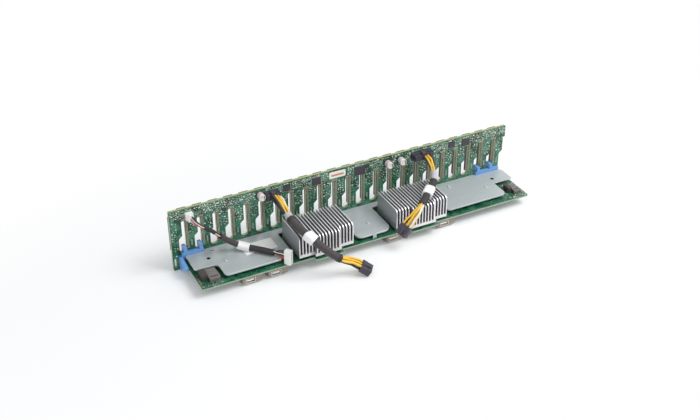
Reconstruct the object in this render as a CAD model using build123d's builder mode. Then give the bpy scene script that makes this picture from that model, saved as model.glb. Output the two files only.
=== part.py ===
"""Drive backplane board with an expander board at right angles, in millimetres.

The main board stands on edge in the XZ plane and carries the drive connectors on its far side (+Y).
The expander board lies level in front of it (-Y), with two heatsinks and a sheet support bracket on top.
The origin is the centre of the main board's bottom edge, at half its thickness.
"""
import math
import os

from build123d import *

os.makedirs("parts", exist_ok=True)

# General clearances
FIT_GAP = 0.3
EDGE_GAP = 0.5

# Main board
BOARD_LENGTH = 425.0
BOARD_HEIGHT = 75.0
BOARD_THICK = 3.0
BOARD_CORNER = 1.5
FRONT = -BOARD_THICK / 2
BACK = BOARD_THICK / 2
BOARD_LEFT = -BOARD_LENGTH / 2
BOARD_RIGHT = BOARD_LENGTH / 2

# Drive bays and the bottle shaped air slots between their connectors
BAY_COUNT = 24
SLOT_START = 8.8
LAST_SLOT_END = 6.8
BAY_PITCH = (BOARD_LENGTH - SLOT_START - LAST_SLOT_END) / (BAY_COUNT - 1)
SLOT_WIDE = 8.1
SLOT_NECK = 3.9
TOP_BAND = 15.0
SLOT_TOP = BOARD_HEIGHT - TOP_BAND
SLOT_NECK_END = 42.0
SLOT_SHOULDER = 38.0
SLOT_BOTTOM = 21.5
SLOT_FOOT_R = 3.0
SLOT_HEAD_R = 1.2
WINDOW_INSET = 1.8
WINDOW_X = BOARD_LEFT + WINDOW_INSET
WINDOW_WIDTH = 2.2
WINDOW_Z = 4.0
WINDOW_HEIGHT = 11.0

# Drive connectors on the far side
CONNECTOR_OFFSET = -4.6
CONNECTOR_WIDTH = 6.0
CONNECTOR_DEPTH = 6.8
CONNECTOR_Z = 22.0
CONNECTOR_INSET = 11.0
CONNECTOR_HEIGHT = BOARD_HEIGHT - CONNECTOR_INSET - CONNECTOR_Z
CONNECTOR_SLOT = 2.8
CONNECTOR_WALL = 3.0
CONNECTOR_FLOOR = 1.6
CONNECTOR_EAR = 2.4
CONNECTOR_EAR_HEIGHT = 5.0

# Status lamp blocks along the far side's top edge
LAMP_OFFSET = 7.0
LAMP_WIDTH = 10.0
LAMP_DEPTH = 4.0
LAMP_HEIGHT = 4.0
LAMP_INSET = 0.6
LAMP_TOP = BOARD_HEIGHT - LAMP_INSET

# Expander board
EXPANDER_INSET_LEFT = 10.4
EXPANDER_INSET_RIGHT = 4.2
EXPANDER_LEFT = BOARD_LEFT + EXPANDER_INSET_LEFT
EXPANDER_RIGHT = BOARD_RIGHT - EXPANDER_INSET_RIGHT
EXPANDER_FRONT = -63.5
EXPANDER_BACK = FRONT - EDGE_GAP
EXPANDER_UNDER = 10.6
EXPANDER_THICK = 1.6
EXPANDER_TOP = EXPANDER_UNDER + EXPANDER_THICK
EXPANDER_CORNER = 2.0
TAB_FRONT = -69.0
TAB_CORNER = 1.0

# Board to board connectors hidden under the expander board
LINK_INNER = 52.0
LINK_INSET = 62.5
LINK_OUTER = BOARD_RIGHT - LINK_INSET
LINK_CENTRES = (-LINK_OUTER, -LINK_INNER, LINK_INNER, LINK_OUTER)
LINK_LENGTH = 56.0
LINK_HEIGHT = 7.4
LINK_HEADER_DEPTH = 4.0
LINK_SOCKET_DEPTH = 6.5
LINK_LIP = 1.0

# Expander chips, thermal pads and finned heatsinks
SINK_LEFT_X = -90.0
SINK_RIGHT_X = 29.9
SINK_LEFTS = (SINK_LEFT_X, SINK_RIGHT_X)
SINK_FIN_COUNT = 18
SINK_FIN_PITCH = 3.79
SINK_FIN_THICK = 1.2
SINK_WIDTH = SINK_FIN_PITCH * (SINK_FIN_COUNT - 1) + SINK_FIN_THICK
SINK_BACK = -17.0
SINK_FRONT = -61.8
SINK_NOSE_FRONT = -66.5
SINK_NOSE_FROM = 17.3
SINK_NOSE_TO = 49.0
SINK_BASE = 3.5
SINK_HEIGHT = 26.0
SINK_TOP_R = 4.5
CHIP_SIDE = 32.0
CHIP_THICK = 1.7
PAD_SIDE = 28.0
PAD_THICK = 0.6
SINK_UNDER = EXPANDER_TOP + CHIP_THICK + PAD_THICK
SINK_TOP = SINK_UNDER + SINK_HEIGHT
SINK_MIDDLE_Y = (SINK_FRONT + SINK_BACK) / 2
TAB_FROM = 17.0
TAB_TO = 51.0
TAB_SPANS = tuple((left + TAB_FROM, left + TAB_TO) for left in SINK_LEFTS)

# Sheet support bracket over the expander board
BRACKET_SHEET = 1.0
STANDOFF_HEIGHT = 4.8
BRACKET_UNDER = EXPANDER_TOP + STANDOFF_HEIGHT
BRACKET_TOP = BRACKET_UNDER + BRACKET_SHEET
BRACKET_LIP = 1.2
BRACKET_LIP_THICK = 1.0
BRACKET_INSET_LEFT = 2.6
BRACKET_INSET_RIGHT = 1.0
BRACKET_LEFT = EXPANDER_LEFT + BRACKET_INSET_LEFT
BRACKET_RIGHT = EXPANDER_RIGHT - BRACKET_INSET_RIGHT
BRACKET_BACK = FRONT - EDGE_GAP
BRACKET_STRIP_FRONT = -11.0
SINK_GAP_LEFT = 3.3
SINK_GAP_BEHIND = 6.7
SINK_GAP_BEFORE = 4.6
SINK_GAP_RIGHT = 5.3
STEP_WIDTH = 26.0
STEP_GAP_RIGHT = 8.2
NOTCH_WIDTH = 15.4
LEFT_PART_STEP_X = BRACKET_LEFT + STEP_WIDTH
LEFT_PART_STEP_Y = -34.3
LEFT_PART_FRONT = -57.5
LEFT_PART_RIGHT = SINK_LEFT_X - SINK_GAP_LEFT
PLUG_NOTCH_X = LEFT_PART_RIGHT - NOTCH_WIDTH
PLUG_NOTCH_Y = -52.5
MIDDLE_PART_LEFT = SINK_LEFT_X + SINK_WIDTH + SINK_GAP_BEHIND
MIDDLE_PART_RIGHT = SINK_RIGHT_X - SINK_GAP_BEFORE
MIDDLE_PART_FRONT = -59.7
RIGHT_PART_LEFT = SINK_RIGHT_X + SINK_WIDTH + SINK_GAP_RIGHT
RIGHT_PART_RIGHT = BRACKET_RIGHT - STEP_WIDTH
RIGHT_PART_FRONT = -56.0
RIGHT_PART_STEP_Y = -30.3
SMALL_R = 2.0
CORNER_R = 5.0
MIDDLE_LEFT_R = 7.0
MIDDLE_RIGHT_R = 9.0
BRACKET_HOLE_R = 2.3
BRACKET_HOLE_Y = -20.4
HOLE_INSET_LEFT = 20.7
HOLE_INSET_RIGHT = 22.3
BRACKET_HOLE_LEFT_X = BRACKET_LEFT + HOLE_INSET_LEFT
BRACKET_HOLE_RIGHT_X = BRACKET_RIGHT - HOLE_INSET_RIGHT
BRACKET_SLOT_STEP = 9.1
BRACKET_SLOT_X = BRACKET_HOLE_LEFT_X + BRACKET_SLOT_STEP
BRACKET_SLOT_Y = -8.4
BRACKET_SLOT_LENGTH = 4.0
BRACKET_SLOT_WIDTH = 1.4
BRACKET_FOOT_X = 3.0
BRACKET_FOOT_WIDTH = 4.6
LIP_CLEAR = 4.0
STANDOFF_R = 2.6
RIVET_R = 2.2
RIVET_HEIGHT = 0.8
RIVET_LEFT_STEP = 36.0
RIVET_MIDDLE_X = 6.5
RIVET_RIGHT_STEP = 28.2
RIVET_END_STEP = 13.1
RIVET_CENTRES = (
    (BRACKET_LEFT + RIVET_LEFT_STEP, -33.1),
    (RIVET_MIDDLE_X, -38.0),
    (RIGHT_PART_LEFT + RIVET_RIGHT_STEP, -13.1),
    (RIGHT_PART_RIGHT - RIVET_END_STEP, -33.2),
)

# Moulded release latches at both ends
LATCH_DEPTH = 3.5
LATCH_FRONT = FRONT - LATCH_DEPTH
BRACKET_SET_BACK = LATCH_FRONT - FIT_GAP
LATCH_BAR_Z = 15.5
LATCH_BAR_TOP = 21.8
LATCH_FOOT_Z = 1.0
HOOK_TOP = 28.0
HOOK_WIDTH = 3.6
HOOK_OFFSET = 3.6
HOOK_RISE = 1.2
HOOK_UNDER = SLOT_BOTTOM + HOOK_RISE
HOOK_TAIL_Z = 18.0
HOOK_TAIL = 2.0
LEFT_PLATE_LEFT = EXPANDER_LEFT - FIT_GAP
LEFT_PLATE_WIDTH = 6.5
LEFT_GUSSET_WIDTH = 3.3
LEFT_HOOK_SLOT = 0
LATCH_END = 1.0
LEFT_BAR_RIGHT = BOARD_LEFT + SLOT_START + BAY_PITCH + HOOK_OFFSET + HOOK_WIDTH + LATCH_END
GUSSET_REACH = -23.5
GUSSET_TIP_Z = 11.0
GUSSET_TIP_TOP = 14.0
GUSSET_TOP = 17.0
RIGHT_HOOK_SLOT = BAY_COUNT - 3
RIGHT_BAR_START = 1.9
RIGHT_BODY_GAP = 1.2
RIGHT_BODY_WIDTH = 7.5
RIGHT_HOOK_X = BOARD_LEFT + SLOT_START + RIGHT_HOOK_SLOT * BAY_PITCH + HOOK_OFFSET
RIGHT_BAR_LEFT = RIGHT_HOOK_X - RIGHT_BAR_START
RIGHT_BODY_LEFT = RIGHT_HOOK_X + BAY_PITCH + HOOK_WIDTH + RIGHT_BODY_GAP
RIGHT_BODY_RIGHT = RIGHT_BODY_LEFT + RIGHT_BODY_WIDTH
RIGHT_BODY_Z = 13.0
EXPANDER_NOTCH_X = LEFT_PLATE_LEFT + LEFT_PLATE_WIDTH + FIT_GAP
EXPANDER_NOTCH_Y = LATCH_FRONT - EDGE_GAP

# Cable ports under the expander board's front edge
PORT_INSET = 56.6
PORT_SPACING = 29.8
PORT_BEFORE_SINK = 1.35
PORT_PAST_SINK = 65.25
PORT_CENTRES = (
    EXPANDER_LEFT + PORT_INSET,
    EXPANDER_LEFT + PORT_INSET + PORT_SPACING,
    SINK_RIGHT_X - PORT_BEFORE_SINK,
    SINK_RIGHT_X + PORT_PAST_SINK,
)
PORT_WIDTH = 22.2
PORT_FRONT = -62.0
PORT_STEP_Y = -55.5
PORT_BACK = -41.5
PORT_FRONT_Z = 2.1
PORT_MOUTH_SHIFT = -2.4
PORT_MOUTH_WIDTH = 10.4
PORT_MOUTH_HEIGHT = 4.8
PORT_MOUTH_Z = 3.2
PORT_MOUTH_DEPTH = 14.0
SHELL_THICK = 0.6
SHELL_PROUD = 0.5
SHELL_DEPTH = 8.0

# Edge connectors at the two ends of the expander board
EDGE_INSET_LEFT = 5.1
EDGE_INSET_RIGHT = 5.3
LEFT_EDGE_WIDTH = 18.7
RIGHT_EDGE_WIDTH = 13.5
LEFT_EDGE_BOX = (EXPANDER_LEFT + EDGE_INSET_LEFT, EXPANDER_LEFT + EDGE_INSET_LEFT + LEFT_EDGE_WIDTH, -54.5, -36.0)
RIGHT_EDGE_BOX = (EXPANDER_RIGHT - EDGE_INSET_RIGHT - RIGHT_EDGE_WIDTH, EXPANDER_RIGHT - EDGE_INSET_RIGHT,
                  -54.0, -38.0)
EDGE_CONNECTOR_HEIGHT = 6.0
EDGE_CONNECTOR_STEP = 1.8
EDGE_CONNECTOR_SET_BACK = 4.5
EDGE_CONNECTOR_SHARE = 0.35

# Headers and plugs on the main board, as left, right, bottom and top
HEADER_DEPTH = 5.0
PLUG_DEPTH = 4.5
PLUG_FACE = FRONT - HEADER_DEPTH - PLUG_DEPTH
HEADER_RISE = 2.4
HEADER_Z = SLOT_TOP + HEADER_RISE
POWER_LEFT_GAP = 3.2
POWER_LEFT_X = SINK_LEFT_X - POWER_LEFT_GAP
POWER_LEFT_BEFORE = 10.5
POWER_LEFT_AFTER = 6.5
POWER_LEFT_HEIGHT = 7.4
POWER_LEFT_Z = HEADER_Z + POWER_LEFT_HEIGHT / 2
POWER_RIGHT_STEP = 67.4
POWER_RIGHT_X = SINK_RIGHT_X + POWER_RIGHT_STEP
POWER_RIGHT_BEFORE = 15.5
POWER_RIGHT_AFTER = 10.0
POWER_RIGHT_HEIGHT = 8.2
POWER_RIGHT_LIFT = 4.2
POWER_RIGHT_Z = HEADER_Z + POWER_RIGHT_LIFT
SIGNAL_INSET = 23.0
SIGNAL_X = BOARD_LEFT + SIGNAL_INSET
SIGNAL_BEFORE = 5.2
SIGNAL_AFTER = 2.8
SIGNAL_HALF = 4.0
SIGNAL_LIFT = 3.6
SIGNAL_Z = HEADER_Z + SIGNAL_LIFT
POWER_LEFT_BOX = (POWER_LEFT_X - POWER_LEFT_BEFORE, POWER_LEFT_X + POWER_LEFT_AFTER,
                  HEADER_Z, HEADER_Z + POWER_LEFT_HEIGHT)
POWER_RIGHT_BOX = (POWER_RIGHT_X - POWER_RIGHT_BEFORE, POWER_RIGHT_X + POWER_RIGHT_AFTER,
                   HEADER_Z, HEADER_Z + POWER_RIGHT_HEIGHT)
SIGNAL_BOX = (SIGNAL_X - SIGNAL_BEFORE, SIGNAL_X + SIGNAL_AFTER, SIGNAL_Z - SIGNAL_HALF, SIGNAL_Z + SIGNAL_HALF)
PLUG_INSET = 0.8
PLUG_LATCH_WIDTH = 3.0
PLUG_LATCH_HEIGHT = 1.0

# Loose ends of the cables
END_PLUG_WIDTH = 14.0
END_PLUG_LENGTH = 12.5
END_PLUG_HEIGHT = 9.2
END_PLUG_LATCH = 1.2
RIGHT_END_ROLL = 63.0
SIGNAL_END_LENGTH = 7.5
SIGNAL_END_THICK = 6.0
SIGNAL_END_HEIGHT = 17.0

# Cable routes
POWER_LEFT_D = 9.0
POWER_RIGHT_D = 7.6
SIGNAL_D = 6.4
ARC_SHARE = 0.45
SIGNAL_END_GAP = 15.2
SIGNAL_END_X = SINK_LEFT_X - SIGNAL_END_GAP
SIGNAL_REACH = 84.3
SIGNAL_SPREAD = (SIGNAL_END_X - SIGNAL_X) / SIGNAL_REACH
POWER_LEFT_ROUTE = (
    (POWER_LEFT_X, PLUG_FACE, POWER_LEFT_Z),
    (POWER_LEFT_X, -20.5, POWER_LEFT_Z),
    (-89.6, -33.5, 54.6),
    (-87.4, -51.5, 48.8),
    (-83.4, -68.5, 47.8),
    (-74.0, -81.1, 38.5),
    (-65.1, -87.5, 29.5),
    (-55.1, -92.1, 21.5),
    (-39.5, -93.6, 14.4),
    (-34.0, -97.6, 10.3),
)
POWER_RIGHT_ROUTE = (
    (POWER_RIGHT_X, PLUG_FACE, POWER_RIGHT_Z),
    (POWER_RIGHT_X, -20.0, POWER_RIGHT_Z),
    (96.6, -30.0, 55.5),
    (90.2, -40.0, 49.3),
    (77.0, -51.0, 47.9),
    (63.2, -65.0, 47.6),
    (51.3, -74.5, 43.4),
    (42.3, -76.5, 37.0),
    (34.8, -76.5, 28.0),
)
SIGNAL_ROUTE = (
    (SIGNAL_X, PLUG_FACE, SIGNAL_Z),
    (SIGNAL_X, -19.5, SIGNAL_Z),
    (SIGNAL_X + SIGNAL_SPREAD * 6.9, -22.8, SIGNAL_Z - 5.2),
    (SIGNAL_X + SIGNAL_SPREAD * 16.6, -20.5, SIGNAL_Z - 14.0),
    (SIGNAL_X + SIGNAL_SPREAD * 29.8, -19.0, 37.6),
    (SIGNAL_X + SIGNAL_SPREAD * 41.3, -19.0, 27.0),
    (SIGNAL_X + SIGNAL_SPREAD * 51.8, -24.0, 22.4),
    (SIGNAL_X + SIGNAL_SPREAD * 64.8, -35.5, 21.8),
    (SIGNAL_X + SIGNAL_SPREAD * 75.8, -47.8, 21.8),
    (SIGNAL_END_X, -58.5, 21.8),
)

# Capacitors and chips on the main board's front face
CAN_R = 4.0
CAN_LENGTH = 8.5
CAN_LEFT_GAP = 15.2
CAN_MIDDLE_STEP = 20.4
CAN_SPACING = 17.0
CAN_LEFT_LIFT = 8.0
CAN_LIFT = 6.1
CAN_CENTRES = (
    (POWER_LEFT_X - CAN_LEFT_GAP, SLOT_TOP + CAN_LEFT_LIFT),
    (SINK_RIGHT_X + CAN_MIDDLE_STEP, SLOT_TOP + CAN_LIFT),
    (SINK_RIGHT_X + CAN_MIDDLE_STEP + CAN_SPACING, SLOT_TOP + CAN_LIFT),
)

# Chip packages, placed from the headers and can capacitors beside them
CHIP_HEIGHT = 1.6
CHIP_LIFT = 11.0
CHIP_TOP = SLOT_TOP + CHIP_LIFT
TINY_CHIP_WIDTH = 4.8
TINY_CHIP_HEIGHT = 4.0
SMALL_CHIP_WIDTH = 8.1
SMALL_CHIP_HEIGHT = 6.4
MEDIUM_CHIP_WIDTH = 10.2
MEDIUM_CHIP_HEIGHT = 8.7
LARGE_CHIP_WIDTH = 13.3
LARGE_CHIP_HEIGHT = 10.4
CHIP_GAP_LEFT = 6.4
CHIP_STEP_LEFT = 27.2
CHIP_GAP_CAN = 24.6
CHIP_GAP_PAIR = 0.5
CHIP_GAP_RIGHT = 25.0
CHIP_STEP_RIGHT = 10.4
LEFT_SMALL_CHIP_X = POWER_LEFT_X + POWER_LEFT_AFTER + CHIP_GAP_LEFT
LEFT_MEDIUM_CHIP_X = LEFT_SMALL_CHIP_X + SMALL_CHIP_WIDTH + CHIP_STEP_LEFT
TINY_CHIP_X = CAN_CENTRES[1][0] - CAN_R - CHIP_GAP_CAN
LARGE_CHIP_X = TINY_CHIP_X - CHIP_GAP_PAIR - LARGE_CHIP_WIDTH
RIGHT_SMALL_CHIP_X = POWER_RIGHT_X + POWER_RIGHT_AFTER + CHIP_GAP_RIGHT
RIGHT_MEDIUM_CHIP_X = RIGHT_SMALL_CHIP_X + SMALL_CHIP_WIDTH + CHIP_STEP_RIGHT
CHIP_BOXES = tuple(
    (left, left + width, CHIP_TOP - height, CHIP_TOP)
    for left, width, height in (
        (LEFT_SMALL_CHIP_X, SMALL_CHIP_WIDTH, SMALL_CHIP_HEIGHT),
        (LEFT_MEDIUM_CHIP_X, MEDIUM_CHIP_WIDTH, MEDIUM_CHIP_HEIGHT),
        (LARGE_CHIP_X, LARGE_CHIP_WIDTH, LARGE_CHIP_HEIGHT),
        (TINY_CHIP_X, TINY_CHIP_WIDTH, TINY_CHIP_HEIGHT),
        (RIGHT_SMALL_CHIP_X, SMALL_CHIP_WIDTH, SMALL_CHIP_HEIGHT),
        (RIGHT_MEDIUM_CHIP_X, MEDIUM_CHIP_WIDTH, MEDIUM_CHIP_HEIGHT),
    )
)


def save(builder, name):
    """Label one finished piece and write it to its own file."""
    builder.part.label = name
    export_step(builder.part, f"parts/{name}.step")


def slot_left(index):
    """Left edge of an air slot's wide part, counted from zero."""
    return BOARD_LEFT + SLOT_START + index * BAY_PITCH


def add_box(left, right, front, back, bottom, top, mode=Mode.ADD):
    """A box given by its six faces, added to the part being built."""
    centre = ((left + right) / 2, (front + back) / 2, (bottom + top) / 2)
    with Locations(centre):
        Box(right - left, back - front, top - bottom, mode=mode)


# Main board with its air slots
with BuildPart() as main_board:
    with BuildSketch(Plane.XZ.offset(-BACK)) as board_face:
        with Locations((0, BOARD_HEIGHT / 2)):
            RectangleRounded(BOARD_LENGTH, BOARD_HEIGHT, BOARD_CORNER)
        with BuildSketch(mode=Mode.PRIVATE) as slot_shape:
            with BuildLine():
                Polyline(
                    (0, SLOT_BOTTOM),
                    (SLOT_WIDE, SLOT_BOTTOM),
                    (SLOT_WIDE, SLOT_TOP),
                    (SLOT_WIDE - SLOT_NECK, SLOT_TOP),
                    (SLOT_WIDE - SLOT_NECK, SLOT_NECK_END),
                    (0, SLOT_SHOULDER),
                    close=True,
                )
            make_face()
            slot_feet = slot_shape.vertices().group_by(Axis.Y)[0]
            fillet(slot_feet, SLOT_FOOT_R)
            slot_heads = slot_shape.vertices().group_by(Axis.Y)[-1]
            fillet(slot_heads, SLOT_HEAD_R)
        slot_places = [(slot_left(index), 0) for index in range(BAY_COUNT - 1)]
        with Locations(*slot_places):
            add(slot_shape.sketch, mode=Mode.SUBTRACT)
        last = slot_left(BAY_COUNT - 1)
        with BuildLine():
            Polyline(
                (last, -BOARD_CORNER),
                (BOARD_RIGHT + BOARD_CORNER, -BOARD_CORNER),
                (BOARD_RIGHT + BOARD_CORNER, SLOT_TOP),
                (last + SLOT_WIDE - SLOT_NECK, SLOT_TOP),
                (last + SLOT_WIDE - SLOT_NECK, SLOT_NECK_END),
                (last, SLOT_SHOULDER),
                close=True,
            )
        make_face(mode=Mode.SUBTRACT)
        with Locations((WINDOW_X + WINDOW_WIDTH / 2, WINDOW_Z + WINDOW_HEIGHT / 2)):
            Rectangle(WINDOW_WIDTH, WINDOW_HEIGHT, mode=Mode.SUBTRACT)
    extrude(amount=BOARD_THICK)
save(main_board, "main_board")


# Drive connectors, one for each bay
for index in range(BAY_COUNT):
    middle = slot_left(index) + CONNECTOR_OFFSET
    top = CONNECTOR_Z + CONNECTOR_HEIGHT
    tip = BACK + CONNECTOR_DEPTH
    with BuildPart() as drive_connector:
        half = CONNECTOR_WIDTH / 2
        add_box(middle - half, middle + half, BACK, tip, CONNECTOR_Z, top)
        half = CONNECTOR_SLOT / 2
        floor = BACK + CONNECTOR_FLOOR
        add_box(middle - half, middle + half, floor, tip, CONNECTOR_Z + CONNECTOR_EAR_HEIGHT,
                top - CONNECTOR_WALL, mode=Mode.SUBTRACT)
        add_box(middle - half, middle + half, tip, tip + CONNECTOR_EAR, top - CONNECTOR_WALL, top)
        add_box(middle - half, middle + half, tip, tip + CONNECTOR_EAR, CONNECTOR_Z,
                CONNECTOR_Z + CONNECTOR_WALL)
    save(drive_connector, f"drive_connector_{index + 1:02d}")


# Status lamp blocks, one beside each closed slot
with BuildPart() as status_lamp_blocks:
    for index in range(BAY_COUNT - 1):
        middle = slot_left(index) + LAMP_OFFSET
        add_box(middle - LAMP_WIDTH / 2, middle + LAMP_WIDTH / 2, BACK, BACK + LAMP_DEPTH,
                LAMP_TOP - LAMP_HEIGHT, LAMP_TOP)
save(status_lamp_blocks, "status_lamp_blocks")


# Expander board with its forward tabs and the notch for the left latch
with BuildPart() as expander_board:
    with BuildSketch(Plane.XY.offset(EXPANDER_UNDER)) as expander_face:
        width = EXPANDER_RIGHT - EXPANDER_LEFT
        depth = EXPANDER_BACK - EXPANDER_FRONT
        with Locations(((EXPANDER_LEFT + EXPANDER_RIGHT) / 2, (EXPANDER_FRONT + EXPANDER_BACK) / 2)):
            Rectangle(width, depth)
        fillet(expander_face.vertices().group_by(Axis.Y)[0], EXPANDER_CORNER)
        for tab_left, tab_right in TAB_SPANS:
            with Locations(((tab_left + tab_right) / 2, (TAB_FRONT + SINK_FRONT) / 2)):
                Rectangle(tab_right - tab_left, SINK_FRONT - TAB_FRONT)
        fillet(expander_face.vertices().group_by(Axis.Y)[0], TAB_CORNER)
        notch_width = EXPANDER_NOTCH_X - EXPANDER_LEFT
        notch_depth = EXPANDER_BACK - EXPANDER_NOTCH_Y
        with Locations((EXPANDER_LEFT + notch_width / 2, EXPANDER_BACK - notch_depth / 2)):
            Rectangle(notch_width, notch_depth, mode=Mode.SUBTRACT)
    extrude(amount=EXPANDER_THICK)
save(expander_board, "expander_board")


# Board to board connectors between the two boards
with BuildPart() as board_headers:
    for centre in LINK_CENTRES:
        add_box(centre - LINK_LENGTH / 2, centre + LINK_LENGTH / 2, FRONT - LINK_HEADER_DEPTH, FRONT,
                EXPANDER_UNDER - LINK_HEIGHT, EXPANDER_UNDER - FIT_GAP)
save(board_headers, "board_headers")

with BuildPart() as board_sockets:
    for centre in LINK_CENTRES:
        face = FRONT - LINK_HEADER_DEPTH
        half = LINK_LENGTH / 2
        add_box(centre - half, centre + half, face - LINK_SOCKET_DEPTH, face,
                EXPANDER_UNDER - LINK_HEIGHT + LINK_LIP, EXPANDER_UNDER)
        add_box(centre - half + LINK_LIP, centre + half - LINK_LIP, face - LINK_SOCKET_DEPTH + LINK_LIP, face,
                EXPANDER_UNDER - LINK_HEIGHT, EXPANDER_UNDER)
save(board_sockets, "board_sockets")


# Expander chips and their thermal pads
with BuildPart() as thermal_pads:
    for left in SINK_LEFTS:
        with Locations((left + SINK_WIDTH / 2, SINK_MIDDLE_Y, SINK_UNDER - PAD_THICK / 2)):
            Box(PAD_SIDE, PAD_SIDE, PAD_THICK)
save(thermal_pads, "thermal_pads")

for left, side in zip(SINK_LEFTS, ("left", "right")):
    with BuildPart() as expander_chip:
        with Locations((left + SINK_WIDTH / 2, SINK_MIDDLE_Y, EXPANDER_TOP + CHIP_THICK / 2)):
            Box(CHIP_SIDE, CHIP_SIDE, CHIP_THICK)
    save(expander_chip, f"expander_chip_{side}")


# Finned heatsinks with a stepped front
for left, side in zip(SINK_LEFTS, ("left", "right")):
    with BuildPart() as heatsink:
        with BuildSketch(Plane.XY.offset(SINK_UNDER)):
            with BuildLine():
                Polyline(
                    (left, SINK_BACK),
                    (left, SINK_FRONT),
                    (left + SINK_NOSE_FROM, SINK_FRONT),
                    (left + SINK_NOSE_FROM, SINK_NOSE_FRONT),
                    (left + SINK_NOSE_TO, SINK_NOSE_FRONT),
                    (left + SINK_NOSE_TO, SINK_FRONT),
                    (left + SINK_WIDTH, SINK_FRONT),
                    (left + SINK_WIDTH, SINK_BACK),
                    close=True,
                )
            make_face()
        extrude(amount=SINK_HEIGHT)
        top_edges = heatsink.edges().filter_by(Axis.X).group_by(Axis.Z)[-1]
        fillet(top_edges.filter_by(lambda edge: edge.center().Y < SINK_MIDDLE_Y), SINK_TOP_R)
        gap = SINK_FIN_PITCH - SINK_FIN_THICK
        for fin in range(SINK_FIN_COUNT - 1):
            start = left + SINK_FIN_THICK + fin * SINK_FIN_PITCH
            add_box(start, start + gap, SINK_NOSE_FRONT - 1, SINK_BACK + 1, SINK_UNDER + SINK_BASE,
                    SINK_TOP + 1, mode=Mode.SUBTRACT)
    save(heatsink, f"heatsink_{side}")


# Support bracket, one formed sheet around both heatsinks
BRACKET_POINTS = (
    (LEFT_BAR_RIGHT + FIT_GAP, BRACKET_SET_BACK, 0),
    (BRACKET_LEFT, BRACKET_SET_BACK, SMALL_R),
    (BRACKET_LEFT, LEFT_PART_STEP_Y, CORNER_R),
    (LEFT_PART_STEP_X, LEFT_PART_STEP_Y, CORNER_R),
    (LEFT_PART_STEP_X, LEFT_PART_FRONT, CORNER_R),
    (PLUG_NOTCH_X, LEFT_PART_FRONT, SMALL_R),
    (PLUG_NOTCH_X, PLUG_NOTCH_Y, SMALL_R),
    (LEFT_PART_RIGHT, PLUG_NOTCH_Y, SMALL_R),
    (LEFT_PART_RIGHT, BRACKET_STRIP_FRONT, SMALL_R),
    (MIDDLE_PART_LEFT, BRACKET_STRIP_FRONT, SMALL_R),
    (MIDDLE_PART_LEFT, MIDDLE_PART_FRONT, MIDDLE_LEFT_R),
    (MIDDLE_PART_RIGHT, MIDDLE_PART_FRONT, MIDDLE_RIGHT_R),
    (MIDDLE_PART_RIGHT, BRACKET_STRIP_FRONT, SMALL_R),
    (RIGHT_PART_LEFT, BRACKET_STRIP_FRONT, SMALL_R),
    (RIGHT_PART_LEFT, RIGHT_PART_FRONT, CORNER_R),
    (RIGHT_PART_RIGHT, RIGHT_PART_FRONT, CORNER_R),
    (RIGHT_PART_RIGHT, RIGHT_PART_STEP_Y, SMALL_R),
    (BRACKET_RIGHT, RIGHT_PART_STEP_Y, SMALL_R),
    (BRACKET_RIGHT, BRACKET_SET_BACK, CORNER_R),
    (RIGHT_BAR_LEFT - FIT_GAP, BRACKET_SET_BACK, 0),
    (RIGHT_BAR_LEFT - FIT_GAP, BRACKET_BACK, 0),
    (LEFT_BAR_RIGHT + FIT_GAP, BRACKET_BACK, 0),
)

with BuildPart() as support_bracket:
    with BuildSketch(Plane.XY.offset(BRACKET_UNDER)) as bracket_face:
        with BuildLine():
            Polyline(*[(x, y) for x, y, radius in BRACKET_POINTS], close=True)
        make_face()
        for x, y, radius in BRACKET_POINTS:
            if radius > 0:
                corner = bracket_face.vertices().sort_by_distance((x, y, 0))[0]
                fillet(corner, radius)
    with BuildSketch(Plane.XY.offset(BRACKET_UNDER)) as bracket_lip:
        add(bracket_face.sketch_local)
        offset(amount=-BRACKET_LIP_THICK, mode=Mode.SUBTRACT)
        with Locations((0, LEFT_PART_STEP_Y / 2 + LIP_CLEAR)):
            Rectangle(2 * BOARD_LENGTH, -LEFT_PART_STEP_Y, mode=Mode.SUBTRACT)
    extrude(bracket_face.sketch, amount=BRACKET_SHEET)
    extrude(bracket_lip.sketch, amount=-BRACKET_LIP)
    half = BRACKET_FOOT_WIDTH / 2
    add_box(BRACKET_FOOT_X - half, BRACKET_FOOT_X + half, MIDDLE_PART_FRONT - BRACKET_SHEET, MIDDLE_PART_FRONT,
            EXPANDER_TOP, BRACKET_TOP)
    hole_places = [(BRACKET_HOLE_LEFT_X, BRACKET_HOLE_Y, BRACKET_TOP),
                   (BRACKET_HOLE_RIGHT_X, BRACKET_HOLE_Y, BRACKET_TOP)]
    with Locations(*hole_places):
        Hole(BRACKET_HOLE_R, depth=BRACKET_SHEET)
    with Locations((BRACKET_SLOT_X, BRACKET_SLOT_Y, BRACKET_UNDER + BRACKET_SHEET / 2)):
        Box(BRACKET_SLOT_LENGTH, BRACKET_SLOT_WIDTH, BRACKET_SHEET, mode=Mode.SUBTRACT)
save(support_bracket, "support_bracket")

with BuildPart() as bracket_standoffs:
    with BuildSketch(Plane.XY.offset(EXPANDER_TOP)):
        with Locations(*RIVET_CENTRES):
            Circle(STANDOFF_R)
    extrude(amount=STANDOFF_HEIGHT)
save(bracket_standoffs, "bracket_standoffs")

with BuildPart() as bracket_rivets:
    with BuildSketch(Plane.XY.offset(BRACKET_TOP)):
        with Locations(*RIVET_CENTRES):
            Circle(RIVET_R)
    extrude(amount=RIVET_HEIGHT, taper=30)
save(bracket_rivets, "bracket_rivets")


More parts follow.
